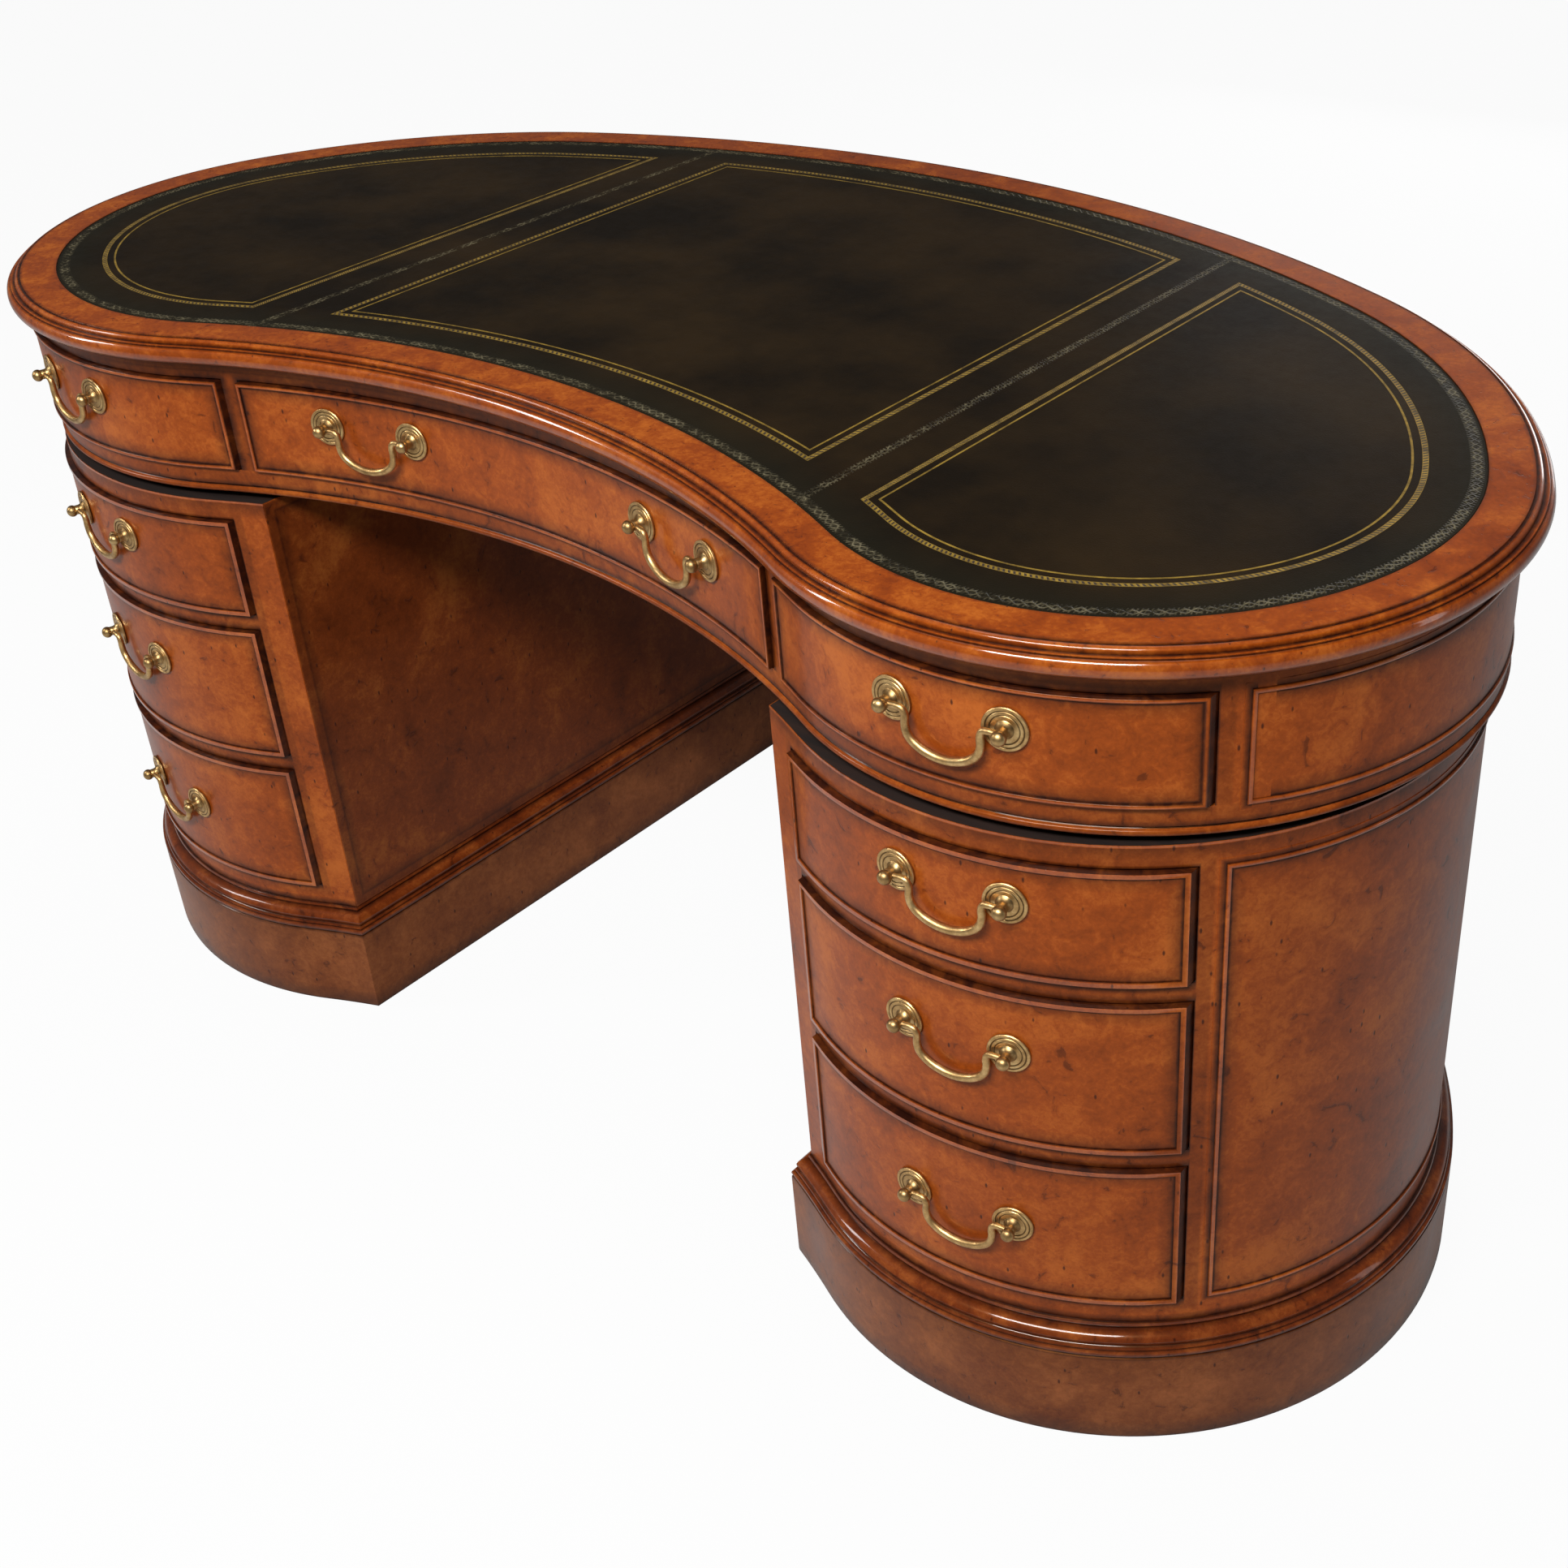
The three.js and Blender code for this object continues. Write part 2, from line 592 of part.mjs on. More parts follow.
// A handle seated on an arc of a drawer's field, its middle at a distance along X
function handle(prefix, side, arc, out, x, z) {
  const faceRadius = radiusAt(arc, out);
  const chordRise = arc.bulge > 0 ? 0 : ROSE_RADIUS ** 2 / faceRadius;
  const pivotRadius = faceRadius + arc.bulge * (ROSE_GAP + chordRise + PIVOT_OUT);
  const spread = Math.asin(HANDLE_SPACING / 2 / pivotRadius);
  const angle = -arc.bulge * Math.acos((x - arc.centre.x) / faceRadius);
  const middle = polar(arc.centre, pivotRadius * Math.cos(spread), angle);
  const turn = Math.PI / 2 + angle + (arc.bulge > 0 ? 0 : Math.PI);
  const group = new THREE.Group();
  group.name = prefix + "_handle";
  group.position.set(side * middle.x, middle.y, z);
  group.rotation.z = side * Math.atan2(Math.sin(turn), Math.cos(turn));
  group.add(piece(prefix + "_bail", handleBail(), brass));
  for (const [word, end] of [["left", -1], ["right", 1]]) {
    const lean = end * arc.bulge * spread;
    const post = piece(prefix + "_post_" + word, handlePost(end, lean), brass);
    const pivotX = (end * HANDLE_SPACING) / 2;
    post.position.set(pivotX - Math.sin(lean) * PIVOT_OUT, Math.cos(lean) * PIVOT_OUT, 0);
    post.rotation.z = lean;
    group.add(post);
  }
  return group;
}

// A drawer: its front, its tray and its handles
function drawer(name, spec, handles) {
  const group = new THREE.Group();
  group.name = name;
  group.add(piece(name + "_front", drawerFront(spec), mahogany));
  group.add(piece(name + "_tray", drawerTray(spec), drawerPine));
  const fieldOut = spec.face + FRONT_PROUD - COCKBEAD_PROUD;
  const handleZ = spec.z + spec.height / 2 + spec.rise;
  for (const { prefix, side, arc, x } of handles)
    group.add(handle(prefix, side, arc, fieldOut, x, handleZ));
  return group;
}

const desk = new THREE.Group();
desk.name = "kidney_desk";
const seamRight = LEATHER_SEAM_X + LEATHER_GAP / 2;
const seamLeft = LEATHER_SEAM_X - LEATHER_GAP / 2;
desk.add(
  piece("top_board", topBoard(), rimVeneer),
  piece("leather_left", leatherSkin(-OVERRUN, -seamRight), leather),
  piece("leather_centre", leatherSkin(-seamLeft, seamLeft), leather),
  piece("leather_right", leatherSkin(seamRight, OVERRUN), leather),
  piece("frieze_base", friezeBase(), mahogany),
  piece("frieze_wall", friezeWall(), mahogany),
);

const friezeSpec = {
  z: FRIEZE_WALL_Z,
  height: FRIEZE_OPENING_HEIGHT,
  rise: FRIEZE_HANDLE_RISE,
  face: FRIEZE_OUT,
  loopAt: kidneyLoop,
};
const centreSpec = { ...friezeSpec, side: 1, x0: -CENTRE_OPENING_X, x1: CENTRE_OPENING_X };
const centreHandles = [
  { prefix: "centre_drawer_left", side: -1, arc: KIDNEY.front, x: CENTRE_HANDLE_X },
  { prefix: "centre_drawer_right", side: 1, arc: KIDNEY.front, x: CENTRE_HANDLE_X },
];
desk.add(drawer("centre_drawer", centreSpec, centreHandles));

for (const [word, side] of [["left", -1], ["right", 1]]) {
  const friezeName = word + "_frieze_drawer";
  const sideSpec = { ...friezeSpec, side, x0: SIDE_OPENING_X, x1: SIDE_OPENING_END };
  desk.add(
    piece("plinth_" + word, plinth(side), mahogany),
    piece("base_moulding_" + word, baseMoulding(side), mahogany),
    piece("pedestal_carcase_" + word, pedestalCarcase(side), mahogany),
    drawer(friezeName, sideSpec, [
      { prefix: friezeName, side, arc: KIDNEY.lobe, x: SIDE_HANDLE_X },
    ]),
  );
  for (const { level, z, height, rise } of PEDESTAL_DRAWERS) {
    const name = word + "_" + level + "_drawer";
    const spec = {
      z,
      height,
      rise,
      face: 0,
      loopAt: (out) => pedestalLoop(side, out),
      side,
      x0: PEDESTAL_OPENING_X,
      x1: PEDESTAL_OPENING_END,
    };
    desk.add(drawer(name, spec, [{ prefix: name, side, arc: PEDESTAL.lobe, x: SIDE_HANDLE_X }]));
  }
}

// The origin lies on the floor, midway between the foremost and the rearmost points
const bounds = new THREE.Box3().setFromObject(desk);
desk.position.y = -(bounds.min.y + bounds.max.y) / 2;

export default desk;
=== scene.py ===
# %% [markdown]
# # A kidney shaped pedestal desk
# The real desk is a writing table of veneered wood: a leather lined top with a moulded edge, a frieze with
# three drawers, and two pedestals with three drawers each on moulded plinths. Everything follows one outline,
# a kidney with a hollow front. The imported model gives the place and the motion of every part, and this script
# dresses it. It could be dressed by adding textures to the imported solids, but their curves have flat facets,
# so each visible surface is made again here, finer, from the same arcs.
# %% Load the frame
import json
import math

import bmesh
import bpy
from mathutils import Matrix, Vector

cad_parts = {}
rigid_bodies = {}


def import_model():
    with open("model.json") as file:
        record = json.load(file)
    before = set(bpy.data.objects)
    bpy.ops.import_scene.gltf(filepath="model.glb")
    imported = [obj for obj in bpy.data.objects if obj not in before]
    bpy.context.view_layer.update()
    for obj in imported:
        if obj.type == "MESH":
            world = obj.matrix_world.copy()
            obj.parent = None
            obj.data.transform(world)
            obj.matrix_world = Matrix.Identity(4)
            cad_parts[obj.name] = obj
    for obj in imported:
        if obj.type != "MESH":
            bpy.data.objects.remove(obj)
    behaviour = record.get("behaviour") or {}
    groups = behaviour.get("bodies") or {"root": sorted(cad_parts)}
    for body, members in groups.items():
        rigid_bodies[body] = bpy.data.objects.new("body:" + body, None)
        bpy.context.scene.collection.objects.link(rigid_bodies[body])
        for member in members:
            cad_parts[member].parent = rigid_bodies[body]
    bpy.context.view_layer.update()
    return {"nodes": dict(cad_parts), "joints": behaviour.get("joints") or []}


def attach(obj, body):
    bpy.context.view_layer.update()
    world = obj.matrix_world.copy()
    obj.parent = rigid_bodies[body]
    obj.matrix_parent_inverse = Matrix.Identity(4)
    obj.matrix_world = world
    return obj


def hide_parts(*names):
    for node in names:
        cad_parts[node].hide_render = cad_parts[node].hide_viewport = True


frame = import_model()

MM = 0.001
TINY = 1e-6

# %% [markdown]
# ## The outline
# The kidney's right half is four arcs that run into each other: the hollow front, the tight lobe, the
# flatter end and the long back. They could be drawn as curve objects, but a point that is turned about each
# centre in turn follows them exactly, and every moulding uses the same turns at its own distance out.
# The pedestals have their own set of arcs, a little further in at the front.
# %% Arcs of the outline
PLAN_SHIFT = -253.116
FRONT_RADIUS, LOBE_RADIUS, END_RADIUS = 920.4, 268.7, 520
LOBE_BEARING, LOBE_END, BACK_START, MIDDLE = 1.1273, 0.4231, 1.1427, math.pi / 2
FRONT_STEPS, LOBE_STEPS, END_STEPS, BACK_STEPS = 26, 64, 36, 44
PEDESTAL_FRONT_OUT, PEDESTAL_LOBE_OUT, PEDESTAL_END_OUT = 37.7, 27.3, 40


def polar(centre, radius, angle):
    return Vector((centre.x + radius * math.cos(angle), centre.y + radius * math.sin(angle), 0))


def arcs_of(front_radius, lobe_radius, end_radius):
    front_centre = Vector((0, PLAN_SHIFT - FRONT_RADIUS, 0)) * MM
    lobe_centre = polar(front_centre, (front_radius + lobe_radius) * MM, LOBE_BEARING)
    end_centre = polar(lobe_centre, (lobe_radius - end_radius) * MM, LOBE_END)
    back_radius = end_radius * MM + end_centre.x / math.cos(BACK_START)
    back_centre = polar(end_centre, end_radius * MM - back_radius, BACK_START)
    return {
        "front": (front_centre, front_radius * MM, -1),
        "lobe": (lobe_centre, lobe_radius * MM, 1),
        "end": (end_centre, end_radius * MM, 1),
        "back": (back_centre, back_radius, 1),
    }


def radius_at(arc, out):
    return arc[1] + arc[2] * out * MM


KIDNEY = arcs_of(FRONT_RADIUS, LOBE_RADIUS, END_RADIUS)
PEDESTAL = arcs_of(FRONT_RADIUS - PEDESTAL_FRONT_OUT, LOBE_RADIUS + PEDESTAL_LOBE_OUT,
                   END_RADIUS + PEDESTAL_END_OUT)
HALF = [
    ("front", MIDDLE, LOBE_BEARING, FRONT_STEPS),
    ("lobe", LOBE_BEARING - math.pi, LOBE_END, LOBE_STEPS),
    ("end", LOBE_END, BACK_START, END_STEPS),
    ("back", BACK_START, MIDDLE, BACK_STEPS),
]
KNEEHOLE_X = 0.3307
print("back radius", round(KIDNEY["back"][1], 4), "m")


# %% [markdown]
# ## Where a point lies on the outline
# Wood and gilding run along the outline, so a pattern needs to know how far round a point lies. The same
# arcs answer that: the angle about the arc's centre gives the running length. It goes into a UV map. A
# point may lie within the angles of two arcs, so its distance decides which of them it belongs to.
# %% Running length along the outline
FRONT_FAR, BACK_NEAR, TURN_SLACK = 1.25, 0.6, 1e-5


def along(arcs, point):
    """Running length from the middle of the front to a point, and its distance out from the outline"""
    reach = 0.0
    found = None
    for name, start, stop, _ in HALF:
        centre, radius, bulge = arcs[name]
        away = Vector((abs(point.x), point.y, 0)) - centre
        angle = math.atan2(away.y, away.x)
        inside = min(start, stop) - TURN_SLACK <= angle <= max(start, stop) + TURN_SLACK
        if name == "front":
            inside = inside and away.length < radius * FRONT_FAR
        elif name != "lobe":
            inside = inside and away.length > radius * BACK_NEAR
        if inside and (found is None or name in ("end", "back")):
            found = (reach + radius * abs(angle - start), bulge * (away.length - radius))
        reach += radius * abs(stop - start)
    return found or (0.0, 0.0)


def half_length(arcs):
    return sum(arcs[name][1] * abs(stop - start) for name, start, stop, _ in HALF)


print("half of the edge measures", round(half_length(KIDNEY), 3), "m")


# %% [markdown]
# ## Sweeping a profile
# A moulding on the real desk is cut with a shaped iron that is pushed along the edge. Spinning a profile
# about each centre in turn does the same. Each row of a profile is a distance out, a height, and how dark the
# wood is painted there: partly the dirt and stain that stay in the grooves, and partly painted shade in the
# grooves and under overhangs.
# %% Spin a profile along the arcs
def spin_along(bm, arcs, legs, geometry):
    for name, start, stop, steps in legs:
        geometry = bmesh.ops.spin(
            bm, geom=geometry, cent=arcs[name][0], axis=(0, 0, 1), dvec=(0, 0, 0),
            angle=stop - start, steps=steps, use_merge=False, use_duplicate=False,
        )["geom_last"]
    return geometry


def start_row(bm, arcs, leg, profile):
    arc = arcs[leg[0]]
    shade = bm.verts.layers.float["shade"]
    row = []
    for out, z, *dark in profile:
        vertex = bm.verts.new(polar(arc[0], radius_at(arc, out), leg[1]) + Vector((0, 0, z * MM)))
        vertex[shade] = dark[0] if dark else 0.0
        row.append(vertex)
    return row


def only_edges(items):
    return [item for item in items if isinstance(item, bmesh.types.BMEdge)]


def sweep(bm, arcs, legs, profile, closed=False):
    row = start_row(bm, arcs, legs[0], profile)
    ends = row[1:] + row[:1] if closed else row[1:]
    edges = [bm.edges.new(pair) for pair in zip(row, ends)]
    last = spin_along(bm, arcs, legs, row + edges)
    return edges, only_edges(last)


def new_bmesh():
    bm = bmesh.new()
    bm.verts.layers.float.new("shade")
    return bm


def everything(bm):
    return bm.verts[:] + bm.edges[:] + bm.faces[:]


def whole_outline(bm, profile):
    """A profile swept round the whole kidney"""
    sweep(bm, KIDNEY, HALF, profile)
    bmesh.ops.mirror(bm, geom=everything(bm), matrix=Matrix.Identity(4), merge_dist=1e-5, axis="X")
    bmesh.ops.remove_doubles(bm, verts=bm.verts, dist=TINY)


def fill_level(bm, z):
    """Closes every open loop that lies at one height"""
    edges = [e for e in bm.edges if e.is_boundary and all(abs(v.co.z - z * MM) < TINY for v in e.verts)]
    bmesh.ops.contextual_create(bm, geom=edges)


# %% [markdown]
# ## Turning a mesh into a piece
# Every piece ends the same way: doubles merged, faces turned outwards, sharp edges marked by their angle so
# that curves shade smoothly, and the running length written to its UV map. A piece of the left side is made
# on the right and mirrored first. The object itself stays at the origin, rides on the body that carries it,
# and hides the imported solids it stands for.
# %% Finish a piece
SHARP = math.radians(35)
RIBBON_SEAM, KNEEHOLE_REACH = -0.064, 0.03


def add_object(name, data):
    made = bpy.data.objects.new(name, data)
    bpy.context.scene.collection.objects.link(made)
    return made


def write_runs(bm, arcs, ribbon=False):
    """A gold ribbon has its own mark across its width; elsewhere the second UV is the distance out or up"""
    runs = bm.loops.layers.uv.new("run")
    mark = bm.verts.layers.float["shade"]
    places = {vertex: along(arcs, vertex.co) for vertex in bm.verts}
    for face in bm.faces:
        middle = face.calc_center_median()
        side = -1 if middle.x < 0 else 1
        straight = abs(face.normal.x) > 0.99 and abs(middle.x) < KNEEHOLE_X + KNEEHOLE_REACH
        if ribbon:
            straight = along(arcs, middle)[1] < RIBBON_SEAM
        for loop in face.loops:
            reach, out = places[loop.vert]
            run = loop.vert.co.y if straight else side * reach
            across = loop.vert.co.z if abs(face.normal.z) < 0.7 else out
            loop[runs].uv = (run, loop.vert[mark] if ribbon else across)


def finish_piece(bm, name, material, body, nodes=(), arcs=KIDNEY, ribbon=False, left=False):
    if left:
        bmesh.ops.scale(bm, vec=(-1, 1, 1), verts=bm.verts)
        bmesh.ops.reverse_faces(bm, faces=bm.faces)
    bmesh.ops.remove_doubles(bm, verts=bm.verts, dist=TINY)
    bmesh.ops.recalc_face_normals(bm, faces=bm.faces)
    if arcs:
        write_runs(bm, arcs, ribbon)
    for face in bm.faces:
        face.smooth = True
    for edge in bm.edges:
        edge.smooth = len(edge.link_faces) == 2 and edge.calc_face_angle() < SHARP
    mesh = bpy.data.meshes.new(name)
    bm.to_mesh(mesh)
    bm.free()
    mesh.materials.append(material)
    piece = add_object(name, mesh)
    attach(piece, body)
    if nodes:
        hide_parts(*nodes)


# %% [markdown]
# ## Colours and nodes
# Colours are written as they look on a screen, and one function turns them into the linear values that a
# shader wants. One more function adds a node with its settings and links. A list of inputs fills the first
# sockets in order, which for a map range are the value, its range and the range it becomes, and a node given
# as an input links the first of its outputs that is switched on.
# %% Colour and node helpers
def colour(code):
    values = [int(code[i:i + 2], 16) / 255 for i in (0, 2, 4)]
    linear = [v / 12.92 if v <= 0.04045 else ((v + 0.055) / 1.055) ** 2.4 for v in values]
    return (*linear, 1.0)


def node(tree, kind, inputs=(), stops=(), **settings):
    made = tree.nodes.new("ShaderNode" + kind)
    for key, value in settings.items():
        setattr(made, key, value)
    if stops:
        ramp = made.color_ramp.elements
        while len(ramp) < len(stops):
            ramp.new(1.0)
        for element, (position, code) in zip(ramp, stops):
            element.position = position
            element.color = colour(code)
    for socket, value in inputs.items() if isinstance(inputs, dict) else enumerate(inputs):
        if isinstance(value, bpy.types.Node):
            value = next(output for output in value.outputs if output.enabled)
        if isinstance(value, bpy.types.NodeSocket):
            tree.links.new(value, made.inputs[socket])
        else:
            made.inputs[socket].default_value = colour(value) if isinstance(value, str) else value
    return made


def new_tree(name):
    material = bpy.data.materials.new(name)
    material.use_nodes = True
    material.node_tree.nodes.clear()
    return material, material.node_tree


def finish_tree(tree, inputs):
    node(tree, "OutputMaterial", {"Surface": node(tree, "BsdfPrincipled", inputs)})


# %% [markdown]
# ## French polished veneer
# The desk is veneered with a figured hardwood under french polish, a thin glassy film of tinted shellac. The
# eye sees soft clouds of colour about a hand wide, a curly figure a finger wide, pin knots and short dark
# scratches a millimetre or two across, and near black in every groove, partly stain where a cloth can't reach
# and partly painted shade. On the crests of the beads the colour is rubbed a little paler, with small nicks.
# Painted textures could do it, but noise at real sizes can be judged against a ruler: 1 / 0.016 makes a figure
# 16 mm across. Each vertex carries a shade: above zero it darkens the wood, partly as stain and partly as
# painted shade in grooves, gaps and under overhangs, and below zero it is a crest, where the polish is rubbed
# thin and shines most. The film is a coat over a duller wood, weak on the flat and full on the crests.
# %% Polished veneer
def polished_veneer(name, dark, middle, light, cloud=0.11, curl=0.016, pits=0.014, gloss=0.1, film=0.14):
    material, tree = new_tree(name)
    place = node(tree, "TexCoord").outputs["Object"]
    clouds = node(tree, "TexNoise", {
        "Vector": place, "Scale": 1 / cloud, "Detail": 3, "Roughness": 0.55, "Distortion": 0.6})
    figure = node(tree, "TexNoise", {
        "Vector": place, "Scale": 1 / curl, "Detail": 5, "Roughness": 0.58, "Distortion": 1.1})
    fine = node(tree, "TexNoise", {
        "Vector": place, "Scale": 1 / 0.0045, "Detail": 4, "Roughness": 0.68, "Distortion": 0.8})
    broad = node(tree, "Mix", {"Factor": 0.36, "A": clouds, "B": figure})
    grain = node(tree, "Mix", {"Factor": 0.27, "A": broad, "B": fine})
    wood = node(tree, "ValToRGB", [grain], stops=[(0.36, dark), (0.5, middle), (0.62, light)])
    # Pin knots and scratches, a few to each hand's width
    bent = node(tree, "Mapping", {"Vector": place, "Scale": (1, 1, 0.45), "Rotation": (0.5, 0.3, 0)})
    knots = node(tree, "TexVoronoi", {"Vector": bent, "Scale": 1 / pits})
    knot = node(tree, "MapRange", [knots, 0.05, 0.1, 0.85, 0])
    marks = node(tree, "MapRange", [figure, 0.36, 0.31, 0, 0.5])
    flecks = node(tree, "Math", [knot, marks], operation="MAXIMUM")
    flecked = node(tree, "Mix", {"Factor": flecks, "A": wood, "B": "2c0f07"}, data_type="RGBA")
    # Stain and painted shade in grooves, gaps and under overhangs, broken up a little
    shade = node(tree, "Attribute", attribute_name="shade").outputs["Fac"]
    uneven = node(tree, "MapRange", [figure, 0.3, 0.7, 1.15, 0.72])
    stain_and_shade = node(tree, "Math", [shade, uneven], operation="MULTIPLY")
    stain_and_shade = node(tree, "Math", [stain_and_shade, 0], operation="MAXIMUM", use_clamp=True)
    stain_and_shade = node(tree, "Math", [stain_and_shade, 0.72], operation="POWER", use_clamp=True)
    stained_and_shaded = node(tree, "Mix", {"Factor": stain_and_shade, "A": flecked, "B": "220c07"}, data_type="RGBA")
    # Wear on the crests, strongest at the nicks
    nicks = node(tree, "TexNoise", {"Vector": place, "Scale": 1 / 0.013, "Detail": 4, "Roughness": 0.7})
    nick = node(tree, "MapRange", [nicks, 0.52, 0.68, 0.12, 0.8])
    crest = node(tree, "Math", [shade, -1], operation="MULTIPLY", use_clamp=True)
    rubbed = node(tree, "Math", [crest, nick], operation="MULTIPLY")
    worn = node(tree, "Mix", {"Factor": rubbed, "A": stained_and_shaded, "B": "a4622f"}, data_type="RGBA")
    dull = node(tree, "MapRange", [clouds, 0.3, 0.7, 0.3, 0.4])
    bump = node(tree, "Bump", {"Height": grain, "Strength": 0.18, "Distance": 0.0006})
    dents = node(tree, "Bump", {
        "Height": flecks, "Strength": 0.35, "Distance": 0.0004, "Normal": bump}, invert=True)
    coat = node(tree, "MapRange", [shade, -0.02, -0.15, film, 1])
    finish_tree(tree, {
        "Base Color": worn, "Roughness": dull, "Normal": dents, "Specular IOR Level": 0.3,
        "Specular Tint": "d08a4c", "Coat Weight": coat, "Coat Roughness": gloss})
    return material


FRONT_VENEER = polished_veneer("french_polished_mahogany", "642a0c", "853c10", "a0531c", curl=0.02)
RIM_VENEER = polished_veneer("burr_walnut_crossband", "622505", "7c3507", "964c13", cloud=0.05, curl=0.009,
                             pits=0.009, gloss=0.09, film=0.12)
MOULDING_WOOD = polished_veneer("stained_mahogany_moulding", "481b09", "682c0e", "86441a", cloud=0.05,
                                gloss=0.08, film=0.5)
# A darker copy of the front veneer: painted shade for the sides of the kneehole
KNEEHOLE_SHADED_VENEER = polished_veneer("dark_stained_mahogany", "4a1e09", "642c0e", "7c4117", curl=0.02)
PLINTH_VENEER = polished_veneer("stained_mahogany_plinth", "5a2a12", "713c1b", "864c26", cloud=0.07)


# %% [markdown]
# ## Leather
# The writing surface is hide, dyed nearly black over brown and waxed. A hot wheel has pressed a running leaf
# pattern along its edge and along both seams, and old pale wax stays in the pattern. Geometry that small
# would cost thousands of faces, so the pattern is drawn: two waves cross like a plait and short cuts lie
# between them. The edge reads how far round it lies from the UV map, and the seams lie along Y.
# %% Waxed leather
BAND_INSET, BAND_HALF, BAND_REPEAT = 0.0082, 0.0055, 0.0185
LINE_SWING, LINE_HALF = 0.52, 0.26
SEAM_X = 0.3402


def plait(tree, run, across):
    """A pressed band: 1 on the pattern's lines and 0 beside them"""
    angle = node(tree, "Math", [run, 2 * math.pi / BAND_REPEAT], operation="MULTIPLY")
    wave = node(tree, "Math", [angle], operation="SINE")
    lines = []
    for swing in (LINE_SWING, -LINE_SWING):
        offset = node(tree, "Math", [wave, swing], operation="MULTIPLY")
        beside = node(tree, "Math", [across, offset], operation="SUBTRACT")
        gap = node(tree, "Math", [beside], operation="ABSOLUTE")
        lines.append(node(tree, "MapRange", [gap, 0, LINE_HALF, 1, 0]))
    fast = node(tree, "Math", [angle, 5], operation="MULTIPLY")
    slant = node(tree, "Math", [across, 4, fast], operation="MULTIPLY_ADD")
    cuts = node(tree, "MapRange", [node(tree, "Math", [slant], operation="SINE"), 0, 1, 0, 0.55])
    both = node(tree, "Math", lines, operation="MAXIMUM")
    drawn = node(tree, "Math", [both, cuts], operation="MAXIMUM")
    inside = node(tree, "MapRange", [node(tree, "Math", [across], operation="ABSOLUTE"), 5 / 6, 1, 1, 0])
    return node(tree, "Math", [drawn, inside], operation="MULTIPLY")


def waxed_hide():
    material, tree = new_tree("waxed_dyed_hide")
    place = node(tree, "TexCoord").outputs["Object"]
    split = node(tree, "SeparateXYZ", [place]).outputs
    run = node(tree, "SeparateXYZ", [node(tree, "UVMap", uv_map="run")]).outputs
    edge = node(tree, "MapRange", [run["Y"], -BAND_INSET, BAND_HALF - BAND_INSET, 0, 1], clamp=False)
    sideways = node(tree, "Math", [split["X"]], operation="ABSOLUTE")
    seam = node(tree, "MapRange", [sideways, SEAM_X, SEAM_X + BAND_HALF * 0.9, 0, 1], clamp=False)
    pattern = node(tree, "Math", [plait(tree, run["X"], edge), plait(tree, split["Y"], seam)],
                   operation="MAXIMUM")
    patchy = node(tree, "TexNoise", {"Vector": place, "Scale": 1 / 0.019, "Detail": 5, "Roughness": 0.75})
    strength = node(tree, "MapRange", [patchy, 0.44, 0.62, 0.06, 0.85])
    waxed = node(tree, "Math", [pattern, strength], operation="MULTIPLY")
    tone = node(tree, "TexNoise", {"Vector": place, "Scale": 1 / 0.16, "Detail": 6, "Roughness": 0.6})
    base = node(tree, "ValToRGB", [tone], stops=[(0.36, "0f0a05"), (0.64, "21170a")])
    border = node(tree, "MapRange", [run["Y"], -0.05, -0.012, 0, 0.75])
    edged = node(tree, "Mix", {"Factor": border, "A": base, "B": "14130c"}, data_type="RGBA")
    tooled = node(tree, "Mix", {"Factor": waxed, "A": edged, "B": "6e664f"}, data_type="RGBA")
    pebble = node(tree, "TexVoronoi", {"Vector": place, "Scale": 1 / 0.0014})
    hide_bump = node(tree, "Bump", {"Height": pebble, "Strength": 0.22, "Distance": 0.0002})
    pressed = node(tree, "Bump", {
        "Height": pattern, "Strength": 0.8, "Distance": 0.0005, "Normal": hide_bump})
    rough = node(tree, "MapRange", [patchy, 0.3, 0.7, 0.34, 0.46])
    finish_tree(tree, {
        "Base Color": tooled, "Roughness": rough, "Normal": pressed, "Specular IOR Level": 0.07,
        "Specular Tint": "d39c5c"})
    return material


LEATHER = waxed_hide()


# %% [markdown]
# ## Gold leaf and brass
# The gold lines are leaf pressed in with a hot wheel: a thin plain line, and a broad one made of small links
# with dark hide between them. The handles are cast brass, polished once and left to tarnish, so the crests
# are warm yellow and the grooves brown. Both are metals with the usual reflection, tinted by their colour.
# %% Gold leaf and brass
LINK_REPEAT, BROAD_END = 0.0052, 1.5


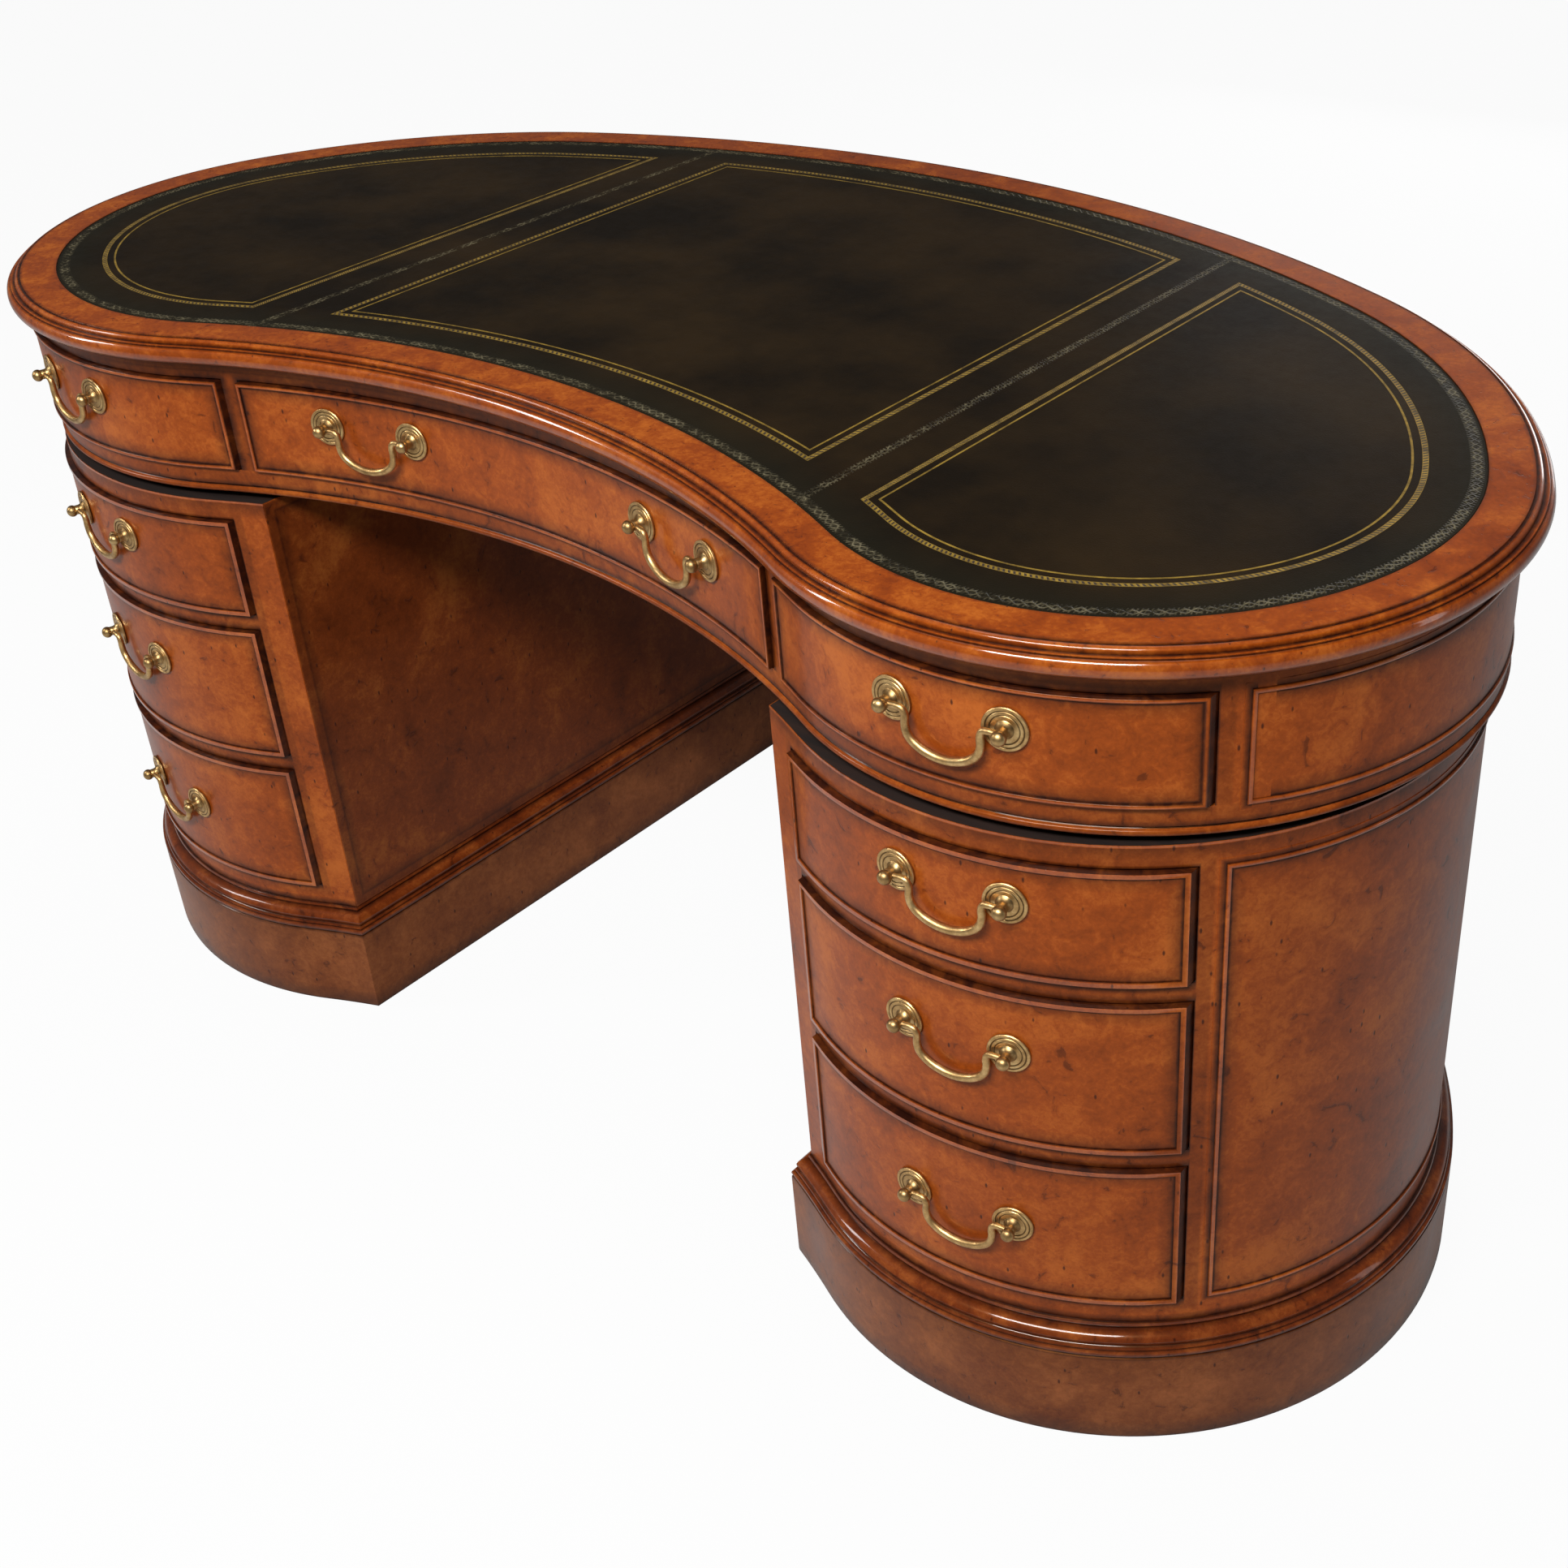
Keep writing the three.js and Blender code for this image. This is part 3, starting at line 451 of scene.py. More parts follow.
def gold_leaf():
    """The second UV runs from 0 to 1 across the broad line of links, and from 2 to 3 on the thin one"""
    material, tree = new_tree("gold_leaf_tooling")
    place = node(tree, "TexCoord").outputs["Object"]
    run = node(tree, "SeparateXYZ", [node(tree, "UVMap", uv_map="run")]).outputs
    rubbed = node(tree, "TexNoise", {"Vector": place, "Scale": 1 / 0.02, "Detail": 6, "Roughness": 0.75})
    base = node(tree, "ValToRGB", [rubbed], stops=[(0.34, "6b5420"), (0.6, "bd9a3e")])
    angle = node(tree, "Math", [run["X"], 2 * math.pi / LINK_REPEAT], operation="MULTIPLY")
    slant = node(tree, "Math", [run["Y"], 3.4, angle], operation="MULTIPLY_ADD")
    links = node(tree, "MapRange", [node(tree, "Math", [slant], operation="SINE"), -0.25, 0.15, 0, 1])
    off_centre = node(tree, "Math", [run["Y"], 0.5], operation="SUBTRACT")
    middle = node(tree, "Math", [off_centre], operation="ABSOLUTE")
    rail = node(tree, "MapRange", [middle, 0.36, 0.36 + 1 / 9, 0, 1])
    leaf = node(tree, "Math", [rail, links], operation="MAXIMUM")
    plain = node(tree, "Math", [run["Y"], BROAD_END], operation="GREATER_THAN")
    shown = node(tree, "Math", [leaf, plain], operation="MAXIMUM")
    worn = node(tree, "MapRange", [rubbed, 0.3, 0.42, 0.25, 1])
    gold = node(tree, "Math", [shown, worn], operation="MULTIPLY")
    seen = node(tree, "Mix", {"Factor": gold, "A": "2a1d0e", "B": base}, data_type="RGBA")
    raised = node(tree, "Bump", {"Height": gold, "Strength": 0.5, "Distance": 0.0002})
    metallic = node(tree, "Math", [gold, 0.75], operation="MULTIPLY")
    finish_tree(tree, {"Base Color": seen, "Metallic": metallic, "Roughness": 0.42, "Normal": raised})
    return material


def antique_brass():
    material, tree = new_tree("tarnished_cast_brass")
    place = node(tree, "TexCoord").outputs["Object"]
    tarnish = node(tree, "TexNoise", {"Vector": place, "Scale": 1 / 0.009, "Detail": 6, "Roughness": 0.7})
    base = node(tree, "ValToRGB", [tarnish], stops=[(0.3, "94744a"), (0.5, "c09b66"), (0.66, "d9b880")])
    shade = node(tree, "Attribute", attribute_name="shade").outputs["Fac"]
    dirt = node(tree, "MapRange", [shade, 0, 1, 0, 0.92])
    brown = node(tree, "Mix", {"Factor": dirt, "A": base, "B": "2b1c0c"}, data_type="RGBA")
    rough = node(tree, "MapRange", [tarnish, 0.3, 0.7, 0.46, 0.34])
    cast = node(tree, "Bump", {"Height": tarnish, "Strength": 0.15, "Distance": 0.0003})
    finish_tree(tree, {"Base Color": brown, "Metallic": 1, "Roughness": rough, "Normal": cast})
    return material


GILT = gold_leaf()
BRASS = antique_brass()


# %% [markdown]
# ## Plain wood inside
# The drawers' sides and bottoms are planed pine, dry and pale with long straight grain. The carcase behind
# the veneer is the same kind of wood, painted nearly black as painted shade, so the gaps round the drawers
# stay dark.
# %% Bare pine
def planed_pine(name, dark, light, rough):
    material, tree = new_tree(name)
    place = node(tree, "TexCoord").outputs["Object"]
    grains = []
    for stretch in ((0.25, 8, 8), (8, 0.25, 8)):
        stretched = node(tree, "Mapping", {"Vector": place, "Scale": stretch})
        grains.append(node(tree, "TexNoise", {
            "Vector": stretched, "Scale": 14, "Detail": 7, "Roughness": 0.6}))
    # A board that faces sideways runs from front to back, and so does its grain
    facing = node(tree, "SeparateXYZ", [node(tree, "NewGeometry").outputs["Normal"]]).outputs["X"]
    steep = node(tree, "Math", [facing], operation="ABSOLUTE")
    sideways = node(tree, "Math", [steep, 0.7], operation="GREATER_THAN")
    grain = node(tree, "Mix", {"Factor": sideways, "A": grains[0], "B": grains[1]})
    base = node(tree, "ValToRGB", [grain], stops=[(0.35, dark), (0.62, light)])
    bump = node(tree, "Bump", {"Height": grain, "Strength": 0.2, "Distance": 0.0005})
    finish_tree(tree, {"Base Color": base, "Roughness": rough, "Normal": bump})
    return material


DRAWER_PINE = planed_pine("planed_drawer_pine", "a9814f", "cfae7c", 0.62)
# Painted nearly black: the shade inside the gaps round the drawers
CARCASE_PAINTED_SHADE = planed_pine("stained_carcase_wood", "120906", "20110a", 0.6)

# %% [markdown]
# ## The top board
# The top is one thick board with a shallow recess for the leather and a moulded edge: a flat rim, a groove,
# a small quarter bead, a second groove, and a large half round. A boolean could cut it, but one profile
# swept round the kidney gives every line at its true width, and its open ends are filled flat.
# %% Top board
RIM, BEAD, FILLET, ROLL_OUT = 36.5, 5, 4.5, 5
DESK_TOP, TOP_UNDERSIDE, RECESS = 780, 758, 1.2


def arc_rows(out, z, radius_out, radius_z, start, stop, steps, dark):
    """Rows of a rounded moulding about a centre, in degrees from straight up towards the outside"""
    rows = []
    for step in range(steps + 1):
        share = step / steps
        turn = math.radians(start + (stop - start) * share)
        tone = dark[0] + (dark[1] - dark[0]) * share
        rows.append((out + radius_out * math.sin(turn), z + radius_z * math.cos(turn), tone))
    return rows


bead_z = DESK_TOP - BEAD
step_out = RIM + BEAD + FILLET
roll_top = bead_z - 2
roll_half = (roll_top - TOP_UNDERSIDE) / 2
quarter_bead = (RIM, bead_z, BEAD, BEAD - 0.4)
roll = (step_out, TOP_UNDERSIDE + roll_half, ROLL_OUT, roll_half)
# Shade 1 at the leather's edge, in the grooves and under the roll is partly stain and partly painted shade
top_profile = [
    (0, DESK_TOP - RECESS, 1), (0, DESK_TOP - 0.3, 0.7), (0.3, DESK_TOP, 0.2), (3, DESK_TOP, 0),
    (RIM - 4, DESK_TOP, 0), (RIM - 1.4, DESK_TOP - 0.05, 0.4), (RIM - 0.9, DESK_TOP - 1.1, 1),
    (RIM + 0.4, DESK_TOP - 1.1, 1),
    *arc_rows(*quarter_bead, 16, 34, 3, (0.5, -0.3)),
    *arc_rows(*quarter_bead, 40, 90, 5, (-0.3, 0.6)),
    (RIM + BEAD, bead_z - 0.5, 1), (RIM + BEAD + 1.4, bead_z - 0.6, 0.9),
    (step_out - 0.6, bead_z - 0.5, -0.1), (step_out, bead_z - 1, 0.5), (step_out, roll_top - 0.1, 1),
    *arc_rows(*roll, 8, 34, 3, (0.6, -0.15)),
    *arc_rows(*roll, 44, 124, 8, (-0.18, -0.15)),
    *arc_rows(*roll, 134, 172, 4, (0.1, 0.8)),
    (step_out, TOP_UNDERSIDE, 1), (step_out - 3, TOP_UNDERSIDE, 1),
]
bm = new_bmesh()
whole_outline(bm, top_profile)
fill_level(bm, DESK_TOP - RECESS)
fill_level(bm, TOP_UNDERSIDE)
finish_piece(bm, "moulded_top", RIM_VENEER, "desk", ["top_board"])
print("top edge has", len(top_profile), "rows")

# %% [markdown]
# ## The leather
# Three skins meet along two seams that run from front to back. A filled outline, cut by two planes, gives
# them, and rows of points along the edge keep its UV map true where the pattern is pressed.
# %% Leather skins
LEATHER_Z, LEATHER_FOOT, SEAM_GAP = 779.6, 778.85, 0.0002
leather_profile = [
    (-0.4, LEATHER_FOOT, 1), (-0.4, LEATHER_Z - 0.3, 1), (-0.8, LEATHER_Z, 0.6), (-3, LEATHER_Z, 0),
    (-16, LEATHER_Z, 0), (-40, LEATHER_Z, 0), (-62, LEATHER_Z, 0),
]


def cut_ends(bm, low, high):
    """Cuts away what lies outside two planes across X, and gives each plane's place and the edges it left"""
    for x, side in ((low, -1), (high, 1)):
        if x is not None:
            cut = bmesh.ops.bisect_plane(bm, geom=everything(bm), dist=TINY, plane_co=(x, 0, 0),
                                         plane_no=(side, 0, 0), clear_outer=True)["geom_cut"]
            yield x, only_edges(cut)


def keep_between(bm, low, high):
    for _, edges in cut_ends(bm, low, high):
        bmesh.ops.contextual_create(bm, geom=edges)


for word, low, high in (("left", None, -SEAM_X - SEAM_GAP), ("centre", -SEAM_X + SEAM_GAP, SEAM_X - SEAM_GAP),
                        ("right", SEAM_X + SEAM_GAP, None)):
    bm = new_bmesh()
    whole_outline(bm, leather_profile)
    fill_level(bm, LEATHER_Z)
    fill_level(bm, LEATHER_FOOT)
    keep_between(bm, low, high)
    finish_piece(bm, f"hide_{word}", LEATHER, "desk", [f"leather_{word}"])

# %% [markdown]
# ## The gold lines
# Each skin has a broad line of links and a thin line inside it. An inset of the skin's own outline keeps
# the corners mitred, as the binder's wheel does. Points close to a corner are dissolved first, so that the
# insets find room there.
# %% Gold lines
GILT_Z, GILT_EDGE, GILT_SEAM = 779.66, 45, 0.04
# Each row's width, whether it is gold, and the mark at its outer side
GILT_ROWS = [(4.8, True, 0), (6.6, False, 1), (1.9, True, 2)]
LAST_MARK, LEAF, CORNER_REACH = 3, 0.0001, 0.018


def tint(bm, faces, value):
    shade = bm.verts.layers.float["shade"]
    for face in faces:
        for vertex in face.verts:
            vertex[shade] = value


def inset(bm, faces, thickness, depth=0.0):
    return bmesh.ops.inset_region(bm, faces=faces, thickness=thickness * MM, depth=depth * MM,
                                  use_boundary=True, use_even_offset=True)["faces"]


def gold_lines(name, low, high):
    bm = new_bmesh()
    whole_outline(bm, [(-GILT_EDGE, GILT_Z)])
    bmesh.ops.contextual_create(bm, geom=bm.edges[:])
    for x, _ in cut_ends(bm, low, high):
        corners = [v for v in bm.verts if abs(v.co.x - x) < TINY]
        near = [v for v in bm.verts if v not in corners
                and min((v.co - corner.co).length for corner in corners) < CORNER_REACH]
        bmesh.ops.dissolve_verts(bm, verts=near)
    bmesh.ops.recalc_face_normals(bm, faces=bm.faces)
    region = bm.faces[:]
    if region[0].normal.z < 0:
        bmesh.ops.reverse_faces(bm, faces=region)
    keep = set()
    for width, wanted, mark in GILT_ROWS:
        tint(bm, region, mark)
        ring = inset(bm, region, width)
        keep.update(ring if wanted else [])
    tint(bm, region, LAST_MARK)
    bmesh.ops.delete(bm, geom=[f for f in bm.faces if f not in keep], context="FACES")
    bmesh.ops.solidify(bm, geom=bm.faces[:], thickness=LEAF)
    finish_piece(bm, name, GILT, "desk", ribbon=True)


gold_lines("gilding_left", None, -SEAM_X - GILT_SEAM)
gold_lines("gilding_centre", -SEAM_X + GILT_SEAM, SEAM_X - GILT_SEAM)
gold_lines("gilding_right", SEAM_X + GILT_SEAM, None)

# %% [markdown]
# ## The bottom of the frieze
# A board closes the frieze underneath, and a small bead runs along its lower edge with a dark groove over it.
# %% Frieze bottom
FRIEZE_Z, FRIEZE_WALL_Z, FRIEZE_OUT = 620, 644, 30.5
VENEER_OUT = FRIEZE_OUT + 0.9
bm = new_bmesh()
# Its underside and groove are dark, partly stain and partly painted shade, fading up the veneer above
whole_outline(bm, [
    (FRIEZE_OUT - 8, FRIEZE_Z, 1), (FRIEZE_OUT, FRIEZE_Z, 1),
    *arc_rows(FRIEZE_OUT, FRIEZE_Z + 3.2, 3, 3, 172, 8, 8, (0.5, 0.1)),
    (FRIEZE_OUT + 0.2, FRIEZE_Z + 6.4, 1), (FRIEZE_OUT - 0.6, FRIEZE_Z + 7.2, 1),
    (VENEER_OUT, FRIEZE_Z + 8.4, 0.9), (VENEER_OUT, FRIEZE_Z + 13, 0.25),
    (VENEER_OUT, FRIEZE_WALL_Z, 0.1), (FRIEZE_OUT - 8, FRIEZE_WALL_Z, 1),
])
fill_level(bm, FRIEZE_Z)
fill_level(bm, FRIEZE_WALL_Z)
finish_piece(bm, "beaded_frieze_bottom", FRONT_VENEER, "desk", ["frieze_base"])

# %% [markdown]
# ## Veneer on the frieze
# The frieze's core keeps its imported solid, with its openings and partitions, and gets its veneer as a real
# sheet a little less than a millimetre thick. It is swept, cut along the openings, and given its thickness.
# %% Frieze veneer
FRIEZE_LEVEL = (0.644, 0.738)
CENTRE_OPENING, SIDE_OPENING = (-0.334, 0.334), (0.350, 0.71904)
FRIEZE_OPENINGS = [CENTRE_OPENING, SIDE_OPENING, (-SIDE_OPENING[1], -SIDE_OPENING[0])]
FRIEZE_SHEET, FRIEZE_FRONT_Y = 0.0008, -0.2
# Width and darkness of the band round each opening, partly stain and partly painted shade
STAIN_AND_SHADE_WIDTH, RAIL_STAIN_AND_SHADE = 0.0075, 0.2


def cut_across(bm, point, normal):
    bmesh.ops.bisect_plane(bm, geom=everything(bm), dist=TINY, plane_co=point, plane_no=normal)


def outwards(bm, inside):
    """Turns an open sheet's faces away from a point inside the piece"""
    bmesh.ops.recalc_face_normals(bm, faces=bm.faces)
    face = max(bm.faces, key=lambda f: f.calc_area())
    if face.normal.dot(face.calc_center_median() - inside) < 0:
        bmesh.ops.reverse_faces(bm, faces=bm.faces)


def in_opening(place, openings, levels, reach=0.0):
    return (any(low - reach < place.x < high + reach for low, high in openings)
            and any(bottom - reach < place.z < top + reach for bottom, top in levels))


def open_sheet(bm, openings, levels, front):
    """Cuts the drawer openings out of a sheet; half a finger's width round each gets stain and painted shade"""
    for low, high in openings:
        for x in (low - STAIN_AND_SHADE_WIDTH, low, high, high + STAIN_AND_SHADE_WIDTH):
            cut_across(bm, (x, 0, 0), (1, 0, 0))
    for bottom, top in levels:
        for z in (bottom - STAIN_AND_SHADE_WIDTH, bottom, top, top + STAIN_AND_SHADE_WIDTH):
            cut_across(bm, (0, 0, z), (0, 0, 1))
    gone = []
    for face in bm.faces:
        middle = face.calc_center_median()
        if middle.y < front and in_opening(middle, openings, levels) and abs(face.normal.x) < 0.999:
            gone.append(face)
    rims = {vertex for face in gone for vertex in face.verts}
    shade = bm.verts.layers.float["shade"]
    # Near the openings the veneer is darkened, partly stain and partly painted shade of the gap, darkest at the
    # rims
    for vertex in bm.verts:
        if vertex.co.y < front and in_opening(vertex.co, openings, levels, STAIN_AND_SHADE_WIDTH + 0.001):
            vertex[shade] = max(vertex[shade], RAIL_STAIN_AND_SHADE)
    for vertex in rims:
        vertex[shade] = 1.0
    bmesh.ops.delete(bm, geom=gone, context="FACES")


bm = new_bmesh()
# The top row is painted shadow of the top's overhang, fading out over 11 mm
whole_outline(bm, [(VENEER_OUT, FRIEZE_WALL_Z), (VENEER_OUT, TOP_UNDERSIDE - 11),
                   (VENEER_OUT, TOP_UNDERSIDE, 1)])
outwards(bm, Vector((0, 0, 0.7)))
open_sheet(bm, FRIEZE_OPENINGS, [(FRIEZE_LEVEL[0] - 0.0001, FRIEZE_LEVEL[1])], FRIEZE_FRONT_Y)
bmesh.ops.solidify(bm, geom=bm.faces[:], thickness=FRIEZE_SHEET)
finish_piece(bm, "frieze_veneer", FRONT_VENEER, "desk")

# %% [markdown]
# ## Veneer on the pedestals
# Each pedestal is a carcase with three openings, closed along the kneehole by a straight side. The sheet
# follows the pedestal's own arcs, and a flat piece joins its two ends.
# %% Pedestal veneer
CARCASE_Z, LOCATOR_Z = 125.5, 612.5
PEDESTAL_OPENING = (0.3637, 0.71248)
PEDESTAL_LEVELS = [(0.1495, 0.300503), (0.317503, 0.468506), (0.485506, 0.5925)]
PEDESTAL_SHEET, PEDESTAL_FRONT_Y, SHEET_OUT = 0.0007, -0.25, 0.5


def pedestal_legs(out):
    cut = KNEEHOLE_X - out * MM
    start = math.acos(cut / radius_at(PEDESTAL["front"], out))
    stop = math.acos(cut / radius_at(PEDESTAL["back"], out))
    return [
        ("front", start, LOBE_BEARING, 6),
        ("lobe", LOBE_BEARING - math.pi, LOBE_END, LOBE_STEPS),
        ("end", LOBE_END, BACK_START, END_STEPS),
        ("back", BACK_START, stop, BACK_STEPS // 2),
    ]


def both_sides(make):
    for word, side in (("right", 1), ("left", -1)):
        make(word, side)


def pedestal_veneer(word, side):
    bm = new_bmesh()
    # Dark at the foot and in a band under the frieze: partly stain and partly painted shade. The pale glossy
    # top arris is partly wear and partly a painted highlight.
    heights = [(CARCASE_Z, 1), (CARCASE_Z + 8, 0), (LOCATOR_Z - 17, 0), (LOCATOR_Z - 2.6, 0.55),
               (LOCATOR_Z - 1.4, -0.3), (LOCATOR_Z, -0.3)]
    first, last = sweep(bm, PEDESTAL, pedestal_legs(SHEET_OUT), [(SHEET_OUT, *row) for row in heights])
    bmesh.ops.bridge_loops(bm, edges=first + last)
    outwards(bm, Vector((0.55, 0, 0.4)))
    open_sheet(bm, [PEDESTAL_OPENING], PEDESTAL_LEVELS, PEDESTAL_FRONT_Y)
    bmesh.ops.solidify(bm, geom=bm.faces[:], thickness=PEDESTAL_SHEET)
    finish_piece(bm, f"pedestal_veneer_{word}", FRONT_VENEER, "desk", arcs=PEDESTAL, left=side < 0)


both_sides(pedestal_veneer)


# %% [markdown]
# ## Base mouldings and plinths
# A bead, a swelling roll and some reeds go round the foot of each pedestal, over a plain plinth. The
# corners at the kneehole are mitred, so each row of the profile is its own loop, spun from where it meets
# the straight side. Neighbouring loops are bridged edge by edge, because a bridge between two whole loops
# that lie flat in one plane comes out twisted.
# %% Loops round a pedestal
def pedestal_ring(bm, profile):
    rings = []
    for row in profile:
        legs = pedestal_legs(row[0])
        start = start_row(bm, PEDESTAL, legs[0], [row])
        before = set(bm.edges)
        last = spin_along(bm, PEDESTAL, legs, start)
        end = [item for item in last if isinstance(item, bmesh.types.BMVert)]
        bmesh.ops.contextual_create(bm, geom=[start[0], end[0]])
        rings.append([edge for edge in bm.edges if edge not in before])
    for low, high in zip(rings, rings[1:] + rings[:1]):
        for neighbours in zip(low, high):
            bmesh.ops.bridge_loops(bm, edges=list(neighbours))
    bmesh.ops.recalc_face_normals(bm, faces=bm.faces[:])


MOULDING_Z = 99
# Shade 1 at the joints with carcase and plinth and in the grooves: partly stain, partly painted shade
MOULDING_PROFILE = [
    (-17.5, CARCASE_Z, 1), (1.6, CARCASE_Z, 1), (2.5, CARCASE_Z - 0.6, 0.4), (3.2, CARCASE_Z - 2.4, 0.1),
    (2.6, CARCASE_Z - 4.2, 0.5), (1.9, CARCASE_Z - 5, 1), (3.6, CARCASE_Z - 5.4, 0.6),
    (7.6, CARCASE_Z - 6.6, 0.1), (11.2, CARCASE_Z - 9, 0.05), (13, CARCASE_Z - 12.2, 0.1),
    (12.7, CARCASE_Z - 15, 0.4), (11.6, CARCASE_Z - 17, 1), (12.2, CARCASE_Z - 17.6, 0.7),
    (14, CARCASE_Z - 18.2, 0.2), (14.6, CARCASE_Z - 19.4, 0.3), (14, CARCASE_Z - 20.4, 1),
    (15.6, CARCASE_Z - 20.9, 0.2), (17.1, CARCASE_Z - 21.8, 0.1), (17.5, CARCASE_Z - 23.4, 0.2),
    (16.9, CARCASE_Z - 25.2, 0.8), (16.2, MOULDING_Z, 1), (-17.5, MOULDING_Z, 1),
]
# The plinth darkens under the moulding and towards the floor: partly stain, partly painted shade
PLINTH_PROFILE = [
    (-7.5, MOULDING_Z, 1), (16.4, MOULDING_Z, 1), (17.3, MOULDING_Z - 0.8, 0.6), (17.5, MOULDING_Z - 3, 0.15),
    (17.5, 60, 0), (17.5, 20, 0.05), (17.5, 4, 0.5), (17.0, 1, 0.9), (16, 0, 1), (-7.5, 0, 1),
]


def foot(word, side):
    for name, node_name, profile, material in (
            ("reeded_base_moulding", "base_moulding", MOULDING_PROFILE, MOULDING_WOOD),
            ("veneered_plinth", "plinth", PLINTH_PROFILE, PLINTH_VENEER)):
        bm = new_bmesh()
        pedestal_ring(bm, profile)
        finish_piece(bm, f"{name}_{word}", material, "desk", [f"{node_name}_{word}"], arcs=PEDESTAL,
                     left=side < 0)


both_sides(foot)

# %% [markdown]
# ## Beads, stain and painted shade by insets
# A half round bead is let into the edge of every drawer front and panel, and darkening lies beside it,
# partly stain and partly painted shade, and fades within a finger's width. Both could be cut with a profile
# along a path, but an inset keeps a row of faces at an even width from an outline of any shape and mitres its
# corners. It needs room there, so the section edges of a bent board are dissolved near its ends. A narrow
# bevel then rounds the bead.
# %% Rows by inset
COCKBEAD = 4
# Each row's width and darkness, partly stain and partly painted shade
STAIN_AND_SHADE_ROWS = [(0.7, 1.0), (1.8, 0.5), (4.0, 0.2), (7.0, 0.0)]
CREST, STAIN_AND_SHADE_SLOPE = -0.16, 2.6


def face_edges(faces):
    counts = {}
    for face in faces:
        for edge in face.edges:
            counts[edge] = counts.get(edge, 0) + 1
    return [edge for edge, count in counts.items() if count == 1]


def bead_shade(drop):
    """Wear on the top of a bead, turning to stain and painted shade a millimetre below it"""
    return min(1.0, CREST + STAIN_AND_SHADE_SLOPE * max(drop, 0))


def inset_rows(bm, field, rows):
    for width, dark in rows:
        inset(bm, field, width)
        tint(bm, field, dark)


def round_off(bm, edges, offset):
    bmesh.ops.bevel(bm, geom=edges, offset=offset * MM, segments=3, affect="EDGES", profile=0.5,
                    material=-1, clamp_overlap=True)


def clear_columns(bm, arcs, ends, reach, kept=()):
    """Dissolves the section edges near the ends, so that an inset finds room there"""
    runs = {vertex: along(arcs, vertex.co)[0] for vertex in bm.verts}
    doomed = []
    for edge in bm.edges:
        first, second = (runs[vertex] for vertex in edge.verts)
        away = min(abs(first - end) for end in ends)
        upright = abs(first - second) < TURN_SLACK
        if upright and TURN_SLACK < away < reach and not all(vertex in kept for vertex in edge.verts):
            doomed.append(edge)
    bmesh.ops.dissolve_edges(bm, edges=doomed, use_verts=True)


print("stain fades over", sum(width for width, dark in STAIN_AND_SHADE_ROWS), "mm")


# %% [markdown]
# ## Drawer fronts
# Each front is a bent board with a bead round its edge and a field a little lower, which keeps the veneer
# from being chipped. The board is swept and cut to length, and its face is inset: once for the bead, once
# to sink the field, and then for the stain and painted shade. Its sides lie in the shadow of the gap, and that
# shadow is painted on them nearly black.
# %% Drawer front
FRONT_GAP, FRONT_PROUD, FRONT_DEPTH, SUNK = 1.5, 6, 14, 1.8
# The first value is painted shade on a front's sides, which lie in the shadow of the gap
SIDE_PAINTED_SHADE, BEAD_WALL, BEAD_ROUND, FRONT_REACH = 0.95, 0.15, 1.5, 0.0195


def drawer_front(name, arcs, legs, face, opening, levels, side=1):
    bm = new_bmesh()
    outer, inner = face + FRONT_PROUD, face - FRONT_DEPTH
    low, high = opening[0] + FRONT_GAP * MM, opening[1] - FRONT_GAP * MM
    bottom, top = levels[0] / MM + FRONT_GAP, levels[1] / MM - FRONT_GAP
    sweep(bm, arcs, legs, [(inner, bottom), (outer, bottom), (outer, top), (inner, top)], closed=True)
    keep_between(bm, low, high)
    bmesh.ops.remove_doubles(bm, verts=bm.verts, dist=TINY)
    cuts = {v for v in bm.verts if min(abs(v.co.x - low), abs(v.co.x - high)) < TINY}
    places = [along(arcs, vertex.co) for vertex in cuts]
    clear_columns(bm, arcs, [run for run, out in places if out > (outer - 1) * MM], FRONT_REACH, cuts)
    bmesh.ops.recalc_face_normals(bm, faces=bm.faces)
    field = [f for f in bm.faces if all(abs(along(arcs, v.co)[1] - outer * MM) < 1e-3 for v in f.verts)]
    arris = face_edges(field)
    inset(bm, field, COCKBEAD)
    crest = face_edges(field)
    inset(bm, field, BEAD_WALL, -SUNK)
    tint(bm, field, 1.0)
    inset_rows(bm, field, STAIN_AND_SHADE_ROWS)
    round_off(bm, arris + crest, BEAD_ROUND)
    shade = bm.verts.layers.float["shade"]
    drops = {vertex: outer - along(arcs, vertex.co)[1] / MM for vertex in bm.verts}
    for vertex, drop in drops.items():
        if drop < SUNK - 0.24:
            vertex[shade] = bead_shade(drop)
        near = [drops[edge.other_vert(vertex)] for edge in vertex.link_edges] + [drop]
        # The sides in the gap get painted shade, nearly black
        if max(near) > SUNK + 1:
            vertex[shade] = SIDE_PAINTED_SHADE
    finish_piece(bm, f"{name}_board", FRONT_VENEER, name, [f"{name}_front"], arcs=arcs, left=side < 0)


# %% [markdown]
# ## Nine drawers
# A board is swept a little past its opening and then cut with two upright planes, so that its ends are
# straight up and down as a joiner leaves them. The wide drawer follows the hollow front. The others start on
# the hollow and turn round the lobe, so they are swept in two legs.
# %% Place the fronts
SPARE = 0.005
centre_reach = math.acos((CENTRE_OPENING[1] + SPARE) / radius_at(KIDNEY["front"], FRIEZE_OUT))
wide = [("front", math.pi - centre_reach, centre_reach, 44)]
drawer_front("centre_drawer", KIDNEY, wide, FRIEZE_OUT, CENTRE_OPENING, FRIEZE_LEVEL)


